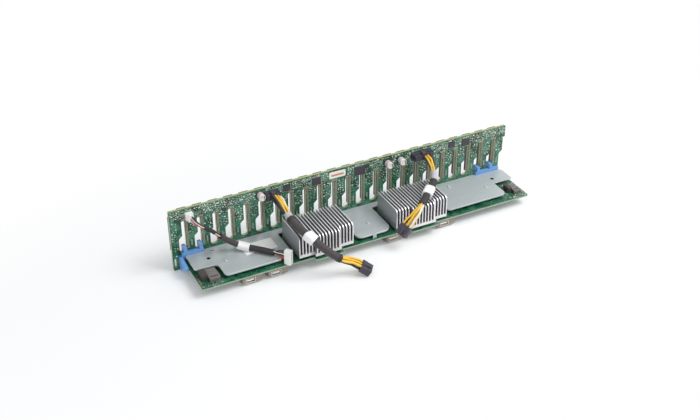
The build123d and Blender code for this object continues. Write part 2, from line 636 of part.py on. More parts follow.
# Release latches, each one moulding that hooks through two air slots
def add_hooks(first_slot):
    """Two hooks that rise from the bar, pass through the slots and drop behind the board."""
    for slot in (first_slot, first_slot + 1):
        start = slot_left(slot) + HOOK_OFFSET
        with BuildSketch(Plane.YZ.offset(start)) as hook_side:
            with BuildLine():
                Polyline(
                    (LATCH_FRONT, LATCH_BAR_TOP),
                    (LATCH_FRONT, HOOK_TOP),
                    (BACK + FIT_GAP + HOOK_TAIL, HOOK_TOP),
                    (BACK + FIT_GAP + HOOK_TAIL, HOOK_TAIL_Z),
                    (BACK + FIT_GAP, HOOK_TAIL_Z),
                    (BACK + FIT_GAP, HOOK_UNDER),
                    (FRONT, HOOK_UNDER),
                    (FRONT, LATCH_BAR_TOP),
                    close=True,
                )
            make_face()
        extrude(hook_side.sketch, amount=HOOK_WIDTH)


with BuildPart() as release_latch_left:
    plate_right = LEFT_PLATE_LEFT + LEFT_PLATE_WIDTH
    add_box(LEFT_PLATE_LEFT, plate_right, LATCH_FRONT, FRONT, LATCH_FOOT_Z, LATCH_BAR_TOP)
    add_box(LEFT_PLATE_LEFT, LEFT_BAR_RIGHT, LATCH_FRONT, FRONT, LATCH_BAR_Z, LATCH_BAR_TOP)
    with BuildSketch(Plane.YZ.offset(LEFT_PLATE_LEFT)):
        with BuildLine():
            Polyline(
                (FRONT, LATCH_FOOT_Z),
                (LATCH_FRONT, LATCH_FOOT_Z),
                (GUSSET_REACH, GUSSET_TIP_Z),
                (GUSSET_REACH, GUSSET_TIP_TOP),
                (LATCH_FRONT, GUSSET_TOP),
                (FRONT, GUSSET_TOP),
                close=True,
            )
        make_face()
    extrude(amount=-LEFT_GUSSET_WIDTH)
    add_hooks(LEFT_HOOK_SLOT)
save(release_latch_left, "release_latch_left")

with BuildPart() as release_latch_right:
    add_box(RIGHT_BODY_LEFT, RIGHT_BODY_RIGHT, LATCH_FRONT, FRONT, RIGHT_BODY_Z, LATCH_BAR_TOP)
    add_box(RIGHT_BAR_LEFT, RIGHT_BODY_LEFT, LATCH_FRONT, FRONT, LATCH_BAR_Z, LATCH_BAR_TOP)
    add_hooks(RIGHT_HOOK_SLOT)
save(release_latch_right, "release_latch_right")


# Cable ports under the expander board
def mouth_span(centre):
    """Left and right faces of a port's mouth."""
    middle = centre + PORT_MOUTH_SHIFT
    return middle - PORT_MOUTH_WIDTH / 2, middle + PORT_MOUTH_WIDTH / 2


for index, centre in enumerate(PORT_CENTRES):
    mouth_left, mouth_right = mouth_span(centre)
    with BuildPart() as cable_port:
        half = PORT_WIDTH / 2
        add_box(centre - half, centre + half, PORT_FRONT, PORT_STEP_Y, PORT_FRONT_Z, EXPANDER_UNDER)
        add_box(centre - half, centre + half, PORT_STEP_Y, PORT_BACK, 0, EXPANDER_UNDER)
        add_box(mouth_left, mouth_right, PORT_FRONT, PORT_FRONT + PORT_MOUTH_DEPTH,
                PORT_MOUTH_Z, PORT_MOUTH_Z + PORT_MOUTH_HEIGHT, mode=Mode.SUBTRACT)
        add_box(mouth_left - SHELL_THICK, mouth_right + SHELL_THICK, PORT_FRONT, PORT_FRONT + SHELL_DEPTH,
                PORT_MOUTH_Z - SHELL_THICK, PORT_MOUTH_Z + PORT_MOUTH_HEIGHT + SHELL_THICK, mode=Mode.SUBTRACT)
    save(cable_port, f"cable_port_{index + 1}")

with BuildPart() as port_shells:
    for centre in PORT_CENTRES:
        mouth_left, mouth_right = mouth_span(centre)
        shell_front = PORT_FRONT - SHELL_PROUD
        add_box(mouth_left - SHELL_THICK, mouth_right + SHELL_THICK, shell_front, PORT_FRONT + SHELL_DEPTH,
                PORT_MOUTH_Z - SHELL_THICK, PORT_MOUTH_Z + PORT_MOUTH_HEIGHT + SHELL_THICK)
        add_box(mouth_left, mouth_right, shell_front, PORT_FRONT + SHELL_DEPTH,
                PORT_MOUTH_Z, PORT_MOUTH_Z + PORT_MOUTH_HEIGHT, mode=Mode.SUBTRACT)
save(port_shells, "port_shells")


# Edge connectors at the ends of the expander board
for box, side in ((LEFT_EDGE_BOX, "left"), (RIGHT_EDGE_BOX, "right")):
    left, right, front, back = box
    middle = left + EDGE_CONNECTOR_SHARE * (right - left)
    top = EXPANDER_TOP + EDGE_CONNECTOR_HEIGHT
    with BuildPart() as edge_connector:
        add_box(left, middle, front + EDGE_CONNECTOR_SET_BACK, back, EXPANDER_TOP, top)
        add_box(middle, right, front, back, EXPANDER_TOP, top - EDGE_CONNECTOR_STEP)
    save(edge_connector, f"edge_connector_{side}")


# Headers soldered to the main board and the cable plugs pushed onto them
def board_connector(box):
    """A header block on the board's front face."""
    left, right, bottom, top = box
    with BuildPart() as header:
        add_box(left, right, FRONT - HEADER_DEPTH, FRONT, bottom, top)
    return header


def cable_plug(box):
    """A plug that meets the header's front face, with a latch ridge on top."""
    left, right, bottom, top = box
    back = FRONT - HEADER_DEPTH
    middle = (left + right) / 2
    with BuildPart() as plug:
        add_box(left + PLUG_INSET, right - PLUG_INSET, PLUG_FACE, back, bottom + PLUG_INSET, top - PLUG_INSET)
        add_box(middle - PLUG_LATCH_WIDTH / 2, middle + PLUG_LATCH_WIDTH / 2, PLUG_FACE, back,
                top - PLUG_INSET, top - PLUG_INSET + PLUG_LATCH_HEIGHT)
    return plug


save(board_connector(POWER_LEFT_BOX), "power_header_left")
save(board_connector(POWER_RIGHT_BOX), "power_header_right")
save(board_connector(SIGNAL_BOX), "signal_header")
save(cable_plug(POWER_LEFT_BOX), "power_plug_left")
save(cable_plug(POWER_RIGHT_BOX), "power_plug_right")
save(cable_plug(SIGNAL_BOX), "signal_plug")


# Loose plugs at the free ends
def end_plug(start, heading, across):
    """A moulded end plug: its cable face is centred on start and it reaches along heading."""
    plane = Plane(origin=start, x_dir=across, z_dir=heading)
    with BuildPart() as plug:
        with BuildSketch(plane):
            Rectangle(END_PLUG_WIDTH, END_PLUG_HEIGHT - END_PLUG_LATCH)
        extrude(amount=END_PLUG_LENGTH)
        with BuildSketch(plane.offset(END_PLUG_LENGTH / 3)):
            with Locations((0, END_PLUG_HEIGHT / 2)):
                Rectangle(END_PLUG_WIDTH / 4, END_PLUG_LATCH)
        extrude(amount=END_PLUG_LENGTH / 2)
    return plug


LEFT_END_HEADING = (POWER_LEFT_ROUTE[-1][0] - POWER_LEFT_ROUTE[-2][0],
                    POWER_LEFT_ROUTE[-1][1] - POWER_LEFT_ROUTE[-2][1],
                    POWER_LEFT_ROUTE[-1][2] - POWER_LEFT_ROUTE[-2][2])
LEFT_END_ACROSS = (-LEFT_END_HEADING[1], LEFT_END_HEADING[0], 0)
RIGHT_END_HEADING = (POWER_RIGHT_ROUTE[-1][0] - POWER_RIGHT_ROUTE[-2][0], 0,
                     POWER_RIGHT_ROUTE[-1][2] - POWER_RIGHT_ROUTE[-2][2])
RIGHT_END_REACH = math.hypot(RIGHT_END_HEADING[0], RIGHT_END_HEADING[2])
RIGHT_END_LEAN = math.cos(math.radians(RIGHT_END_ROLL))
RIGHT_END_ACROSS = (-RIGHT_END_HEADING[2] * RIGHT_END_LEAN,
                    -RIGHT_END_REACH * math.sin(math.radians(RIGHT_END_ROLL)),
                    RIGHT_END_HEADING[0] * RIGHT_END_LEAN)
save(end_plug(POWER_LEFT_ROUTE[-1], LEFT_END_HEADING, LEFT_END_ACROSS), "power_end_plug_left")
save(end_plug(POWER_RIGHT_ROUTE[-1], RIGHT_END_HEADING, RIGHT_END_ACROSS), "power_end_plug_right")

SIGNAL_HEADING = (SIGNAL_ROUTE[-1][0] - SIGNAL_ROUTE[-2][0], SIGNAL_ROUTE[-1][1] - SIGNAL_ROUTE[-2][1], 0)
SIGNAL_ACROSS = (-SIGNAL_HEADING[1], SIGNAL_HEADING[0], 0)
SIGNAL_END_CENTRE = (SIGNAL_ROUTE[-1][0], SIGNAL_ROUTE[-1][1], EXPANDER_TOP + SIGNAL_END_HEIGHT / 2)
with BuildPart() as signal_end_plug:
    with BuildSketch(Plane(origin=SIGNAL_END_CENTRE, x_dir=SIGNAL_ACROSS, z_dir=SIGNAL_HEADING)):
        Rectangle(SIGNAL_END_THICK, SIGNAL_END_HEIGHT)
    extrude(amount=SIGNAL_END_LENGTH)
save(signal_end_plug, "signal_end_plug")


# Cables, each one plain tube of straight runs joined by tangent arcs
def bend_radii(route):
    """The largest arc at each inner point that leaves a tenth of the shorter run straight."""
    points = [Vector(*point) for point in route]
    radii = []
    for before, here, after in zip(points, points[1:], points[2:]):
        run_in = here - before
        run_out = after - here
        turn = math.radians(run_in.get_angle(run_out))
        radii.append(ARC_SHARE * min(run_in.length, run_out.length) / math.tan(turn / 2))
    return radii


for route, diameter, name in (
    (POWER_LEFT_ROUTE, POWER_LEFT_D, "power_cable_left"),
    (POWER_RIGHT_ROUTE, POWER_RIGHT_D, "power_cable_right"),
    (SIGNAL_ROUTE, SIGNAL_D, "signal_cable"),
):
    radii = bend_radii(route)
    with BuildPart() as cable:
        with BuildLine() as path:
            FilletPolyline(*route, radius=radii)
        with BuildSketch(Plane(origin=path.line @ 0, z_dir=path.line % 0)):
            Circle(diameter / 2)
        sweep()
    save(cable, name)
    length = sum(edge.length for edge in path.edges())
    expected = math.pi * diameter ** 2 / 4 * length
    print(name, "radii", [round(radius, 1) for radius in radii], "length", round(length, 1),
          "volume ratio", round(cable.part.volume / expected, 4), "low", round(cable.part.bounding_box().min.Z, 2))


# Can capacitors and chips on the front face
with BuildPart() as can_capacitors:
    with BuildSketch(Plane.XZ.offset(-FRONT)):
        with Locations(*CAN_CENTRES):
            Circle(CAN_R)
    extrude(amount=CAN_LENGTH)
save(can_capacitors, "can_capacitors")

with BuildPart() as board_chips:
    for left, right, bottom, top in CHIP_BOXES:
        add_box(left, right, FRONT - CHIP_HEIGHT, FRONT, bottom, top)
save(board_chips, "board_chips")
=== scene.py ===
"""Looks for the drive backplane board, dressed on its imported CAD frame.

The main board stands on edge with its system side towards -Y, and the expander board lies level in front of
it. Sizes are in millimetres, and MM or metres() turns them into Blender's metres where they are used.
"""
import math
from functools import partial

import bmesh
import bpy
from mathutils import Matrix, Vector


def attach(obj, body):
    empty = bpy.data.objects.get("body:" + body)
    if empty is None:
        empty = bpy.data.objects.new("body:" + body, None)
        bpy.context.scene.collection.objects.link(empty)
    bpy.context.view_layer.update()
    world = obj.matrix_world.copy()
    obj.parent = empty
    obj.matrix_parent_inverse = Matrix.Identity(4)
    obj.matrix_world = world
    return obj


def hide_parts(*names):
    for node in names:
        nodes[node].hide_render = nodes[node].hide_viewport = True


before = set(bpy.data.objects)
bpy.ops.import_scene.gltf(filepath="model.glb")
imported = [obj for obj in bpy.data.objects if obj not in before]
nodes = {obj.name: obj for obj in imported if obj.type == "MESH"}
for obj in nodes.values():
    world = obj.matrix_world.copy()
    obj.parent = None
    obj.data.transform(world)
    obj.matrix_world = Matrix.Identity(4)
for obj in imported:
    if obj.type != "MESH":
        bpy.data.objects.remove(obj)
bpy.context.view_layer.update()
scene = bpy.context.scene

MM = 0.001


def metres(values):
    """Sizes or places in millimetres, turned into metres."""
    return tuple(value * MM for value in values)


# Places taken from the CAD model
BOARD_FRONT = -1.5
BOARD_BACK = 1.5
BAY_COUNT = 24
BAY_PITCH = 17.8
SLOT_START = -203.7
EXPANDER_TOP = 12.2
BRACKET_TOP = 18.0
CONNECTOR_MIDDLE = -4.6
CHIP_BOXES = (
    (-80.3, -72.2, 64.6, 71.0),
    (-45.0, -34.8, 62.3, 71.0),
    (7.9, 21.2, 60.6, 71.0),
    (21.7, 26.5, 67.0, 71.0),
    (132.3, 140.4, 64.6, 71.0),
    (150.8, 161.0, 62.3, 71.0),
)
CAN_CENTRES = ((-108.4, 68.0), (50.3, 66.1), (67.3, 66.1))
HEADER_BOXES = ((-103.7, -86.7, 62.4, 69.8), (81.8, 107.3, 62.4, 70.6), (-194.7, -186.7, 62.0, 70.0))
PLUG_FACE = -11.0
LABEL_BOX = (-24.0, -3.3, 64.0, 72.5)
PORT_CENTRES = (-145.5, -115.7, 28.55, 95.15)
LINK_CENTRES = (-150.0, -52.0, 52.0, 150.0)
RIVET_CENTRES = ((-163.5, -33.1), (6.5, -38.0), (129.03, -13.1), (168.2, -33.2))


# Camera, stage and light

CAMERA_PLACE = Vector((-0.4796, -0.9362, 0.6879))
CAMERA_HEADING = Vector((0.3861, 0.7489, -0.5385))
CAMERA_LENS = 55.6
CAMERA_SENSOR = 36.0
CAMERA_FAR_END = 20.0
FLOOR_REACH = 4.0
FLOOR_LEVEL = -0.0003
SOFTBOX_SIZE = 0.9


def link_object(name, data):
    """A new object in the scene that shows some data."""
    made = bpy.data.objects.new(name, data)
    scene.collection.objects.link(made)
    return made


def place_camera():
    """The photograph's view: from the left, in front and above."""
    data = bpy.data.cameras.new("photo_camera")
    data.lens = CAMERA_LENS
    data.sensor_width = CAMERA_SENSOR
    data.clip_end = CAMERA_FAR_END
    camera = link_object("photo_camera", data)
    camera.location = CAMERA_PLACE
    camera.rotation_euler = CAMERA_HEADING.to_track_quat("-Z", "Y").to_euler()
    scene.camera = camera


def colour(code):
    """An sRGB hex value as the linear colour that a shader takes."""
    channels = [int(code[start:start + 2], 16) / 255 for start in (1, 3, 5)]
    linear = [c / 12.92 if c <= 0.04045 else ((c + 0.055) / 1.055) ** 2.4 for c in channels]
    return (*linear, 1.0)


PREFIXES = {"SHADER": "ShaderNode", "GEOMETRY": "GeometryNode"}


def add_node(tree, kind, inputs=None, **settings):
    """Add a node, set its properties, then fill its inputs with values, hex colours or links.

    A kind of the tree's own sort is given without its prefix. A link is given as an output socket, or as a
    node, which stands for its first output in use. A list gives several links to one input.
    """
    made = tree.nodes.new(kind if "Node" in kind else PREFIXES[tree.type] + kind)
    for name, value in settings.items():
        setattr(made, name, value)
    for key, value in (inputs or {}).items():
        for part in value if isinstance(value, list) else [value]:
            if isinstance(part, bpy.types.Node):
                part = next(socket for socket in part.outputs if socket.enabled)
            if isinstance(part, bpy.types.NodeSocket):
                tree.links.new(part, made.inputs[key])
            elif isinstance(part, str) and part.startswith("#"):
                made.inputs[key].default_value = colour(part)
            else:
                made.inputs[key].default_value = part
    return made


def empty_tree(owner):
    """Clear the node tree of a world or a material, and give back what adds nodes to it."""
    owner.use_nodes = True
    owner.node_tree.nodes.clear()
    return partial(add_node, owner.node_tree)


def add_light(name, place, target, power):
    """A square white softbox that looks from its place at its target."""
    data = bpy.data.lights.new(name, "AREA")
    data.size = SOFTBOX_SIZE
    data.energy = power
    light = link_object(name, data)
    light.location = place
    light.rotation_euler = (Vector(target) - Vector(place)).to_track_quat("-Z", "Y").to_euler()


def seen_directly(add):
    """1 for what the camera sees straight, mirrored or through glass, 0 for what only lights the object."""
    ray = add("LightPath").outputs
    mirrored = add("Math", {0: ray["Is Camera Ray"], 1: ray["Is Glossy Ray"]}, operation="MAXIMUM")
    return add("Math", {0: mirrored, 1: ray["Is Transmission Ray"]}, operation="MAXIMUM")


def light_the_stage():
    """White backdrop to the camera and to gloss, a soft cool fill for light, and two softboxes."""
    scene.view_settings.view_transform = "Standard"
    scene.world = bpy.data.worlds.new("studio")
    add = empty_tree(scene.world)
    fill = add("Background", {"Color": "#eef2f6", "Strength": 0.62})
    white = add("Background", {"Color": "#ffffff", "Strength": 1.0})
    mixed = add("MixShader", {0: seen_directly(add), 1: fill, 2: white})
    add("OutputWorld", {"Surface": mixed})
    add_light("key_softbox", (0.75, -0.55, 1.25), (0.02, -0.02, 0.02), 16.5)
    add_light("side_softbox", (-1.3, -0.7, 0.7), (0, -0.02, 0.03), 2.6)


def lay_the_floor():
    """A pale seamless floor: it keeps the object's shadow nearby and turns plain white further out."""
    material = bpy.data.materials.new("seamless_paper")
    add = empty_tree(material)
    paper = add("BsdfDiffuse", {"Color": "#fcfcfc"})
    glow = add("Emission", {"Color": "#ffffff", "Strength": 1.0})
    place = add("TexCoord").outputs["Object"]
    # The object is a long bar, so the clear ring round it is an ellipse half as deep as it is wide
    ring = add("Mapping", {"Vector": place, "Location": (0, 0.05, 0), "Scale": (0.5, 1, 0)})
    away = add("VectorMath", {0: ring}, operation="LENGTH")
    whiter = add("MapRange", {"Value": away, "From Min": 0.12, "From Max": 0.30,
                              "To Min": 0.15, "To Max": 1.0})
    share = add("Math", {0: seen_directly(add), 1: whiter}, operation="MULTIPLY")
    mixed = add("MixShader", {0: share, 1: paper, 2: glow})
    add("OutputMaterial", {"Surface": mixed})
    mesh = bpy.data.meshes.new("floor")
    corners = ((-1, -1), (1, -1), (1, 1), (-1, 1))
    points = [(x * FLOOR_REACH, y * FLOOR_REACH, FLOOR_LEVEL) for x, y in corners]
    mesh.from_pydata(points, [], [(0, 1, 2, 3)])
    mesh.materials.append(material)
    floor = link_object("floor", mesh)


place_camera()
light_the_stage()
lay_the_floor()


# Finishes

def close_finish(add, links, sockets):
    """End a finish in a Principled shader with its links and the plain values of its other sockets."""
    plain = {name.replace("_", " "): value for name, value in sockets.items()}
    shader = add("BsdfPrincipled", {**plain, **links})
    add("OutputMaterial", {"Surface": shader})


def mottled(name, low, high, grain, roughness, stretch=(1, 1, 1), bump=0.15, depth=0.05, **sockets):
    """A moulded, rolled or drawn surface: two tones drift over a grain size given in millimetres."""
    material = bpy.data.materials.new(name)
    add = empty_tree(material)
    place = add("TexCoord").outputs["Object"]
    drawn = add("Mapping", {"Vector": place, "Scale": stretch})
    grains = add("TexNoise", {"Vector": drawn, "Scale": 1 / (grain * MM), "Detail": 4.0, "Roughness": 0.6})
    tones = add("Mix", {0: grains, 6: low, 7: high}, data_type="RGBA")
    gloss = add("MapRange", {"Value": grains, "To Min": roughness - 0.06, "To Max": roughness + 0.08})
    relief = add("Bump", {"Height": grains, "Strength": bump, "Distance": depth * MM})
    close_finish(add, {"Base Color": tones, "Roughness": gloss, "Normal": relief}, sockets)
    return material


def paint_shade_along(material, axis, shade):
    """Faces that look along one axis (0 for X, 1 for Y, 2 for Z) take a darker tone: painted shade, as falls
    between close fins.
    """
    tree = material.node_tree
    add = partial(add_node, tree)
    base = tree.nodes["Principled BSDF"].inputs["Base Color"]
    facing = add("TexCoord").outputs["Normal"]
    parts = add("SeparateXYZ", {"Vector": facing})
    size = add("Math", {0: parts.outputs[axis]}, operation="ABSOLUTE")
    share = add("MapRange", {"Value": size, "From Min": 0.5, "From Max": 0.9})
    mixed = add("Mix", {0: share, 6: base.links[0].from_socket, 7: shade}, data_type="RGBA")
    tree.links.new(mixed.outputs[2], base)


def solder_mask(name, turn, face_axis, pours, track, edge):
    """Glass epoxy laminate under green mask: copper pours, fine traces and tinned vias show through it."""
    material = bpy.data.materials.new(name)
    add = empty_tree(material)
    place = add("TexCoord").outputs["Object"]
    flat = add("Mapping", {"Vector": place, "Rotation": turn})
    # Copper pours under the mask are blocks of about 6 mm with straight sides
    areas = add("TexVoronoi", {"Vector": flat, "Scale": 1 / (6.0 * MM), "Randomness": 0.9},
                distance="CHEBYCHEV")
    tone = add("ValToRGB", {"Fac": areas.outputs["Color"]})
    steps = tone.color_ramp.elements
    tone.color_ramp.interpolation = "CONSTANT"
    steps[1].position = 0.36
    steps.new(0.62)
    for step, pour in zip(steps, pours):
        step.color = colour(pour)
    # Traces are about 0.2 mm wide on a real board, drawn three times as wide so that they show
    tracks = add("TexBrick",
                 {"Vector": flat, "Color1": (0, 0, 0, 1), "Color2": (0, 0, 0, 1), "Mortar": (1, 1, 1, 1),
                  "Scale": 1.0, "Mortar Size": 0.3 * MM, "Mortar Smooth": 0.2, "Brick Width": 11 * MM,
                  "Row Height": 1.9 * MM}, offset=0.37)
    routed = add("TexNoise", {"Vector": flat, "Scale": 1 / (16 * MM), "Detail": 1.0})
    shown = add("Math", {0: routed, 1: 0.5}, operation="GREATER_THAN")
    on_track = add("Math", {0: tracks.outputs["Fac"], 1: shown}, operation="MULTIPLY")
    traced = add("Mix", {0: on_track, 6: tone, 7: track}, data_type="RGBA")
    # Vias are rings of 0.6 mm about 3 mm apart
    vias = add("TexVoronoi", {"Vector": flat, "Scale": 1 / (3.0 * MM), "Randomness": 0.85})
    on_via = add("Math", {0: vias, 1: 0.13}, operation="LESS_THAN")
    pierced = add("Mix", {0: on_via, 6: traced, 7: "#c3ccb0"}, data_type="RGBA")
    # The cut edge shows the bare laminate with its glass plies
    normal = add("NewGeometry").outputs["Normal"]
    parts = add("SeparateXYZ", {0: normal})
    facing = add("Math", {0: parts.outputs[face_axis]}, operation="ABSOLUTE")
    rim = add("Math", {0: facing, 1: 0.5}, operation="LESS_THAN")
    plies = add("TexNoise", {"Vector": place, "Scale": 1 / (2.5 * MM), "Detail": 3.0})
    laminate = add("Mix", {0: plies, 6: edge[0], 7: edge[1]}, data_type="RGBA")
    surface = add("Mix", {0: rim, 6: pierced, 7: laminate}, data_type="RGBA")
    relief = add("Bump", {"Height": on_track, "Strength": 0.3, "Distance": 0.05 * MM})
    close_finish(add, {"Base Color": surface, "Normal": relief},
                 {"Roughness": 0.38, "Coat_Weight": 0.2, "Coat_Roughness": 0.2})
    return material


def braided_sleeve(name, low, high):
    """Expandable polyester braid: two families of strands cross along the sleeve, on its own UV map."""
    material = bpy.data.materials.new(name)
    add = empty_tree(material)
    strand_map = add("UVMap").outputs["UV"]
    around, along, _ = add("SeparateXYZ", {0: strand_map}).outputs
    waves = []
    for lean in (1.0, -1.0):
        leaning = add("Math", {0: along, 1: lean}, operation="MULTIPLY")
        phase = add("Math", {0: around, 1: leaning}, operation="ADD")
        angle = add("Math", {0: phase, 1: 2 * math.pi}, operation="MULTIPLY")
        waves.append(add("Math", {0: angle}, operation="SINE"))
    weave = add("Math", {0: waves[0], 1: waves[1]}, operation="MULTIPLY")
    level = add("MapRange", {"Value": weave, "From Min": -1.0, "From Max": 1.0})
    strands = add("Mix", {0: level, 6: low, 7: high}, data_type="RGBA")
    relief = add("Bump", {"Height": level, "Strength": 0.6, "Distance": 0.25 * MM})
    close_finish(add, {"Base Color": strands, "Normal": relief}, {"Roughness": 0.62, "Sheen_Weight": 0.2})
    return material


# Semi gloss green mask over the copper of the upright board, with a yellow green cut edge
MAIN_MASK = solder_mask("solder_mask_main", (math.pi / 2, 0, 0), "Y", ("#0b4530", "#175a40", "#33775b"),
                        "#56957a", ("#7f8350", "#bcc08c"))
# The level board has the same mask over fewer, darker pours
EXPANDER_MASK = solder_mask("solder_mask_expander", (0, 0, 0), "Z", ("#0c4a32", "#14583e", "#2a6a50"),
                            "#3f7d63", ("#7f937a", "#bac5a8"))
# Zinc plated sheet, rolled: even satin grey with a faint grain along its length
PLATED_SHEET = mottled("zinc_plated_sheet", "#b3babc", "#c8cecf", 9.0, 0.42, (0.25, 1, 1), 0.08,
                       Metallic=0.35)
# The same sheet folded at its edge, in a near white tone that is a painted highlight along the fold
PAINTED_HIGHLIGHT_EDGE = mottled("steel_edge_painted_highlight", "#e6e9e9", "#fafbfb", 2.0, 0.3, Metallic=0.3)
# Extruded aluminium, left as drawn: pale, with fine draw lines along the fins
FIN_METAL = mottled("extruded_aluminium", "#e0dee0", "#f7f5f6", 1.6, 0.34, (1, 0.08, 1), 0.12, Metallic=0.55)
# Painted shade: fin faces that look along X take a darker grey, for the shade that falls between the fins
paint_shade_along(FIN_METAL, 0, "#aaabaf")
# Hot tinned solder: pale, slightly lumpy and soft in its shine
TINNED = mottled("tinned_solder", "#b9bcb4", "#dedfd6", 0.7, 0.34, Metallic=0.7)
# Gold flash over nickel on the contact fingers: warm and bright
GOLD = mottled("gold_flashed_contacts", "#b8893a", "#e0bb70", 0.8, 0.3, Metallic=0.9)
# Stamped stainless port shells: warm pale metal with soft press marks
STAINLESS = mottled("stamped_stainless_shell", "#cdc8bf", "#ece8df", 3.0, 0.28, Metallic=0.6)
# Drawn aluminium cans under a clear film: pale with a faint pink cast
CAN_METAL = mottled("drawn_aluminium_can", "#e0d6d4", "#f3ecea", 2.5, 0.38, Metallic=0.2)
# Glass filled nylon, moulded black: dull purple black with a fine grain
BLACK_NYLON = mottled("moulded_black_nylon", "#302d36", "#4d4856", 1.4, 0.5)
# Liquid crystal polymer, moulded: dark warm grey with flow marks
DARK_LCP = mottled("moulded_dark_polymer", "#383230", "#564d49", 2.0, 0.5)
# Grey polymer covers of the edge connectors, moulded: mid grey, slightly cloudy
GREY_LCP = mottled("moulded_grey_polymer", "#63605e", "#8d8985", 2.0, 0.5)
# Port housings, moulded in a beige polymer that takes solder heat: dull and cloudy
BEIGE_LCP = mottled("moulded_beige_polymer", "#776d64", "#a89c90", 2.2, 0.5)
# Lens housings of the status lamps, moulded: smoky brown
SMOKE = mottled("moulded_smoke_lens", "#423c34", "#6a6054", 2.0, 0.35)
# Moulded epoxy packages of the chips: matt near black
EPOXY = mottled("moulded_epoxy_package", "#302d32", "#4b474d", 1.8, 0.55)
# Natural nylon of the signal plugs, moulded: creamy white that lets a little light in
NATURAL_NYLON = mottled("natural_nylon", "#f0efeb", "#fdfcfa", 2.2, 0.45, Subsurface_Weight=0.05,
                        Subsurface_Scale=0.001)
# ABS of the latches, moulded: mid blue with a soft satin skin
BLUE_ABS = mottled("moulded_blue_abs", "#5590d2", "#86b4ea", 5.0, 0.42)
# Silicone pad between chip and heatsink, pressed: dull grey
SILICONE = mottled("pressed_silicone_pad", "#7b8186", "#92989c", 1.0, 0.75)
# Coated label stock: matt white with the faintest fibre
LABEL_PAPER = mottled("coated_label_paper", "#e9e8e6", "#f8f7f5", 1.2, 0.6, bump=0.05)
# Plain orange ink printed on the label stock: flat, a little uneven
ORANGE_INK = mottled("printed_orange_ink", "#cf7a42", "#e3a076", 0.9, 0.6)
# White ink screened on the mask: chalky thin lines
SCREEN_INK = mottled("screened_white_ink", "#cfd6cf", "#eef1ec", 0.9, 0.65)
# Fired ceramic capacitors: matt tan with darker grains
TAN_CERAMIC = mottled("fired_tan_ceramic", "#a08460", "#d3b08c", 1.0, 0.5)
# Thick film resistors: glassy near black
DARK_CERAMIC = mottled("fired_resistor_glaze", "#4a514f", "#6f7876", 1.0, 0.4)
# Fired alumina: chalk white
PALE_CERAMIC = mottled("fired_alumina", "#c9cfc6", "#ecefe8", 1.0, 0.5)
# Resistor packs, printed and glazed: grey green and glassy
GLAZED_PACK = mottled("glazed_resistor_pack", "#7f9385", "#a4b6a7", 1.2, 0.4)
# Brown ground under the soldered pins: flux and bare laminate between the pads
PIN_GROUND = mottled("fluxed_pin_ground", "#5f5440", "#978968", 0.9, 0.5, bump=0.5, depth=0.2)
# PVC wire covers, extruded: smooth, even and slightly waxy
YELLOW_WIRE = mottled("extruded_yellow_pvc", "#e9ae1c", "#fbd356", 3.0, 0.38)
# The same cover in black
BLACK_WIRE = mottled("extruded_black_pvc", "#1f1d21", "#353238", 3.0, 0.4)
# The same cover in white
WHITE_WIRE = mottled("extruded_white_pvc", "#d9d8d4", "#f2f1ed", 3.0, 0.4)
# The same cover in red
RED_WIRE = mottled("extruded_red_pvc", "#c4423a", "#e0645a", 3.0, 0.38)
# Acetate cloth tape wound round the wires: pale grey with a coarse weave
GREY_TAPE = mottled("wound_grey_cloth_tape", "#a8a4a8", "#d2ced0", 0.8, 0.7, bump=0.4)
# Black cloth tape at the ends of a sleeve: dull and wrinkled
BLACK_TAPE = mottled("wound_black_cloth_tape", "#201d20", "#3b3739", 1.6, 0.68, bump=0.5, depth=0.2)
# Black polyester braid: crossed strands with a soft sheen
BLACK_BRAID = braided_sleeve("woven_black_braid", "#1d191b", "#4d4547")

CAD_FINISHES = {
    "main_board": MAIN_MASK,
    "expander_board": EXPANDER_MASK,
    "support_bracket": PLATED_SHEET,
    # The standoffs take the same near white tone, a painted highlight
    "bracket_standoffs": PAINTED_HIGHLIGHT_EDGE,
    "heatsink_left": FIN_METAL,
    "heatsink_right": FIN_METAL,
    "expander_chip_left": EPOXY,
    "expander_chip_right": EPOXY,
    "thermal_pads": SILICONE,
    "release_latch_left": BLUE_ABS,
    "release_latch_right": BLUE_ABS,
    "port_shells": STAINLESS,
    "edge_connector_left": DARK_LCP,
    "edge_connector_right": DARK_LCP,
    "signal_header": NATURAL_NYLON,
    "signal_plug": NATURAL_NYLON,
    "signal_end_plug": NATURAL_NYLON,
    "board_chips": EPOXY,
}
for node_name, node_object in nodes.items():
    plain = BEIGE_LCP if node_name.startswith("cable_port") else BLACK_NYLON
    finish = CAD_FINISHES.get(node_name, plain)
    if not node_object.material_slots:
        node_object.data.materials.append(finish)
    for material_slot in node_object.material_slots:
        material_slot.material = finish


# Making pieces

def add_piece(name, mesh, stands_for=None):
    """Show a finished mesh as a piece that rides on the root body, in place of a CAD node if one is named."""
    mesh.name = name
    piece = link_object(name, mesh)
    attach(piece, "root")
    if stands_for:
        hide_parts(stands_for)
    return piece


def finish_mesh(shape, name, materials=()):
    """Turn a bmesh into a named mesh with its materials, faces pointing outwards."""
    bmesh.ops.recalc_face_normals(shape, faces=shape.faces)
    mesh = bpy.data.meshes.new(name)
    shape.to_mesh(mesh)
    shape.free()
    for material in materials:
        mesh.materials.append(material)
    return mesh


def show(shape, name, materials, place=None, stands_for=None):
    """Finish a bmesh and show it as a piece, moved to a place if one is given."""
    mesh = finish_mesh(shape, name, materials)
    if place is not None:
        mesh.transform(place)
    return add_piece(name, mesh, stands_for)


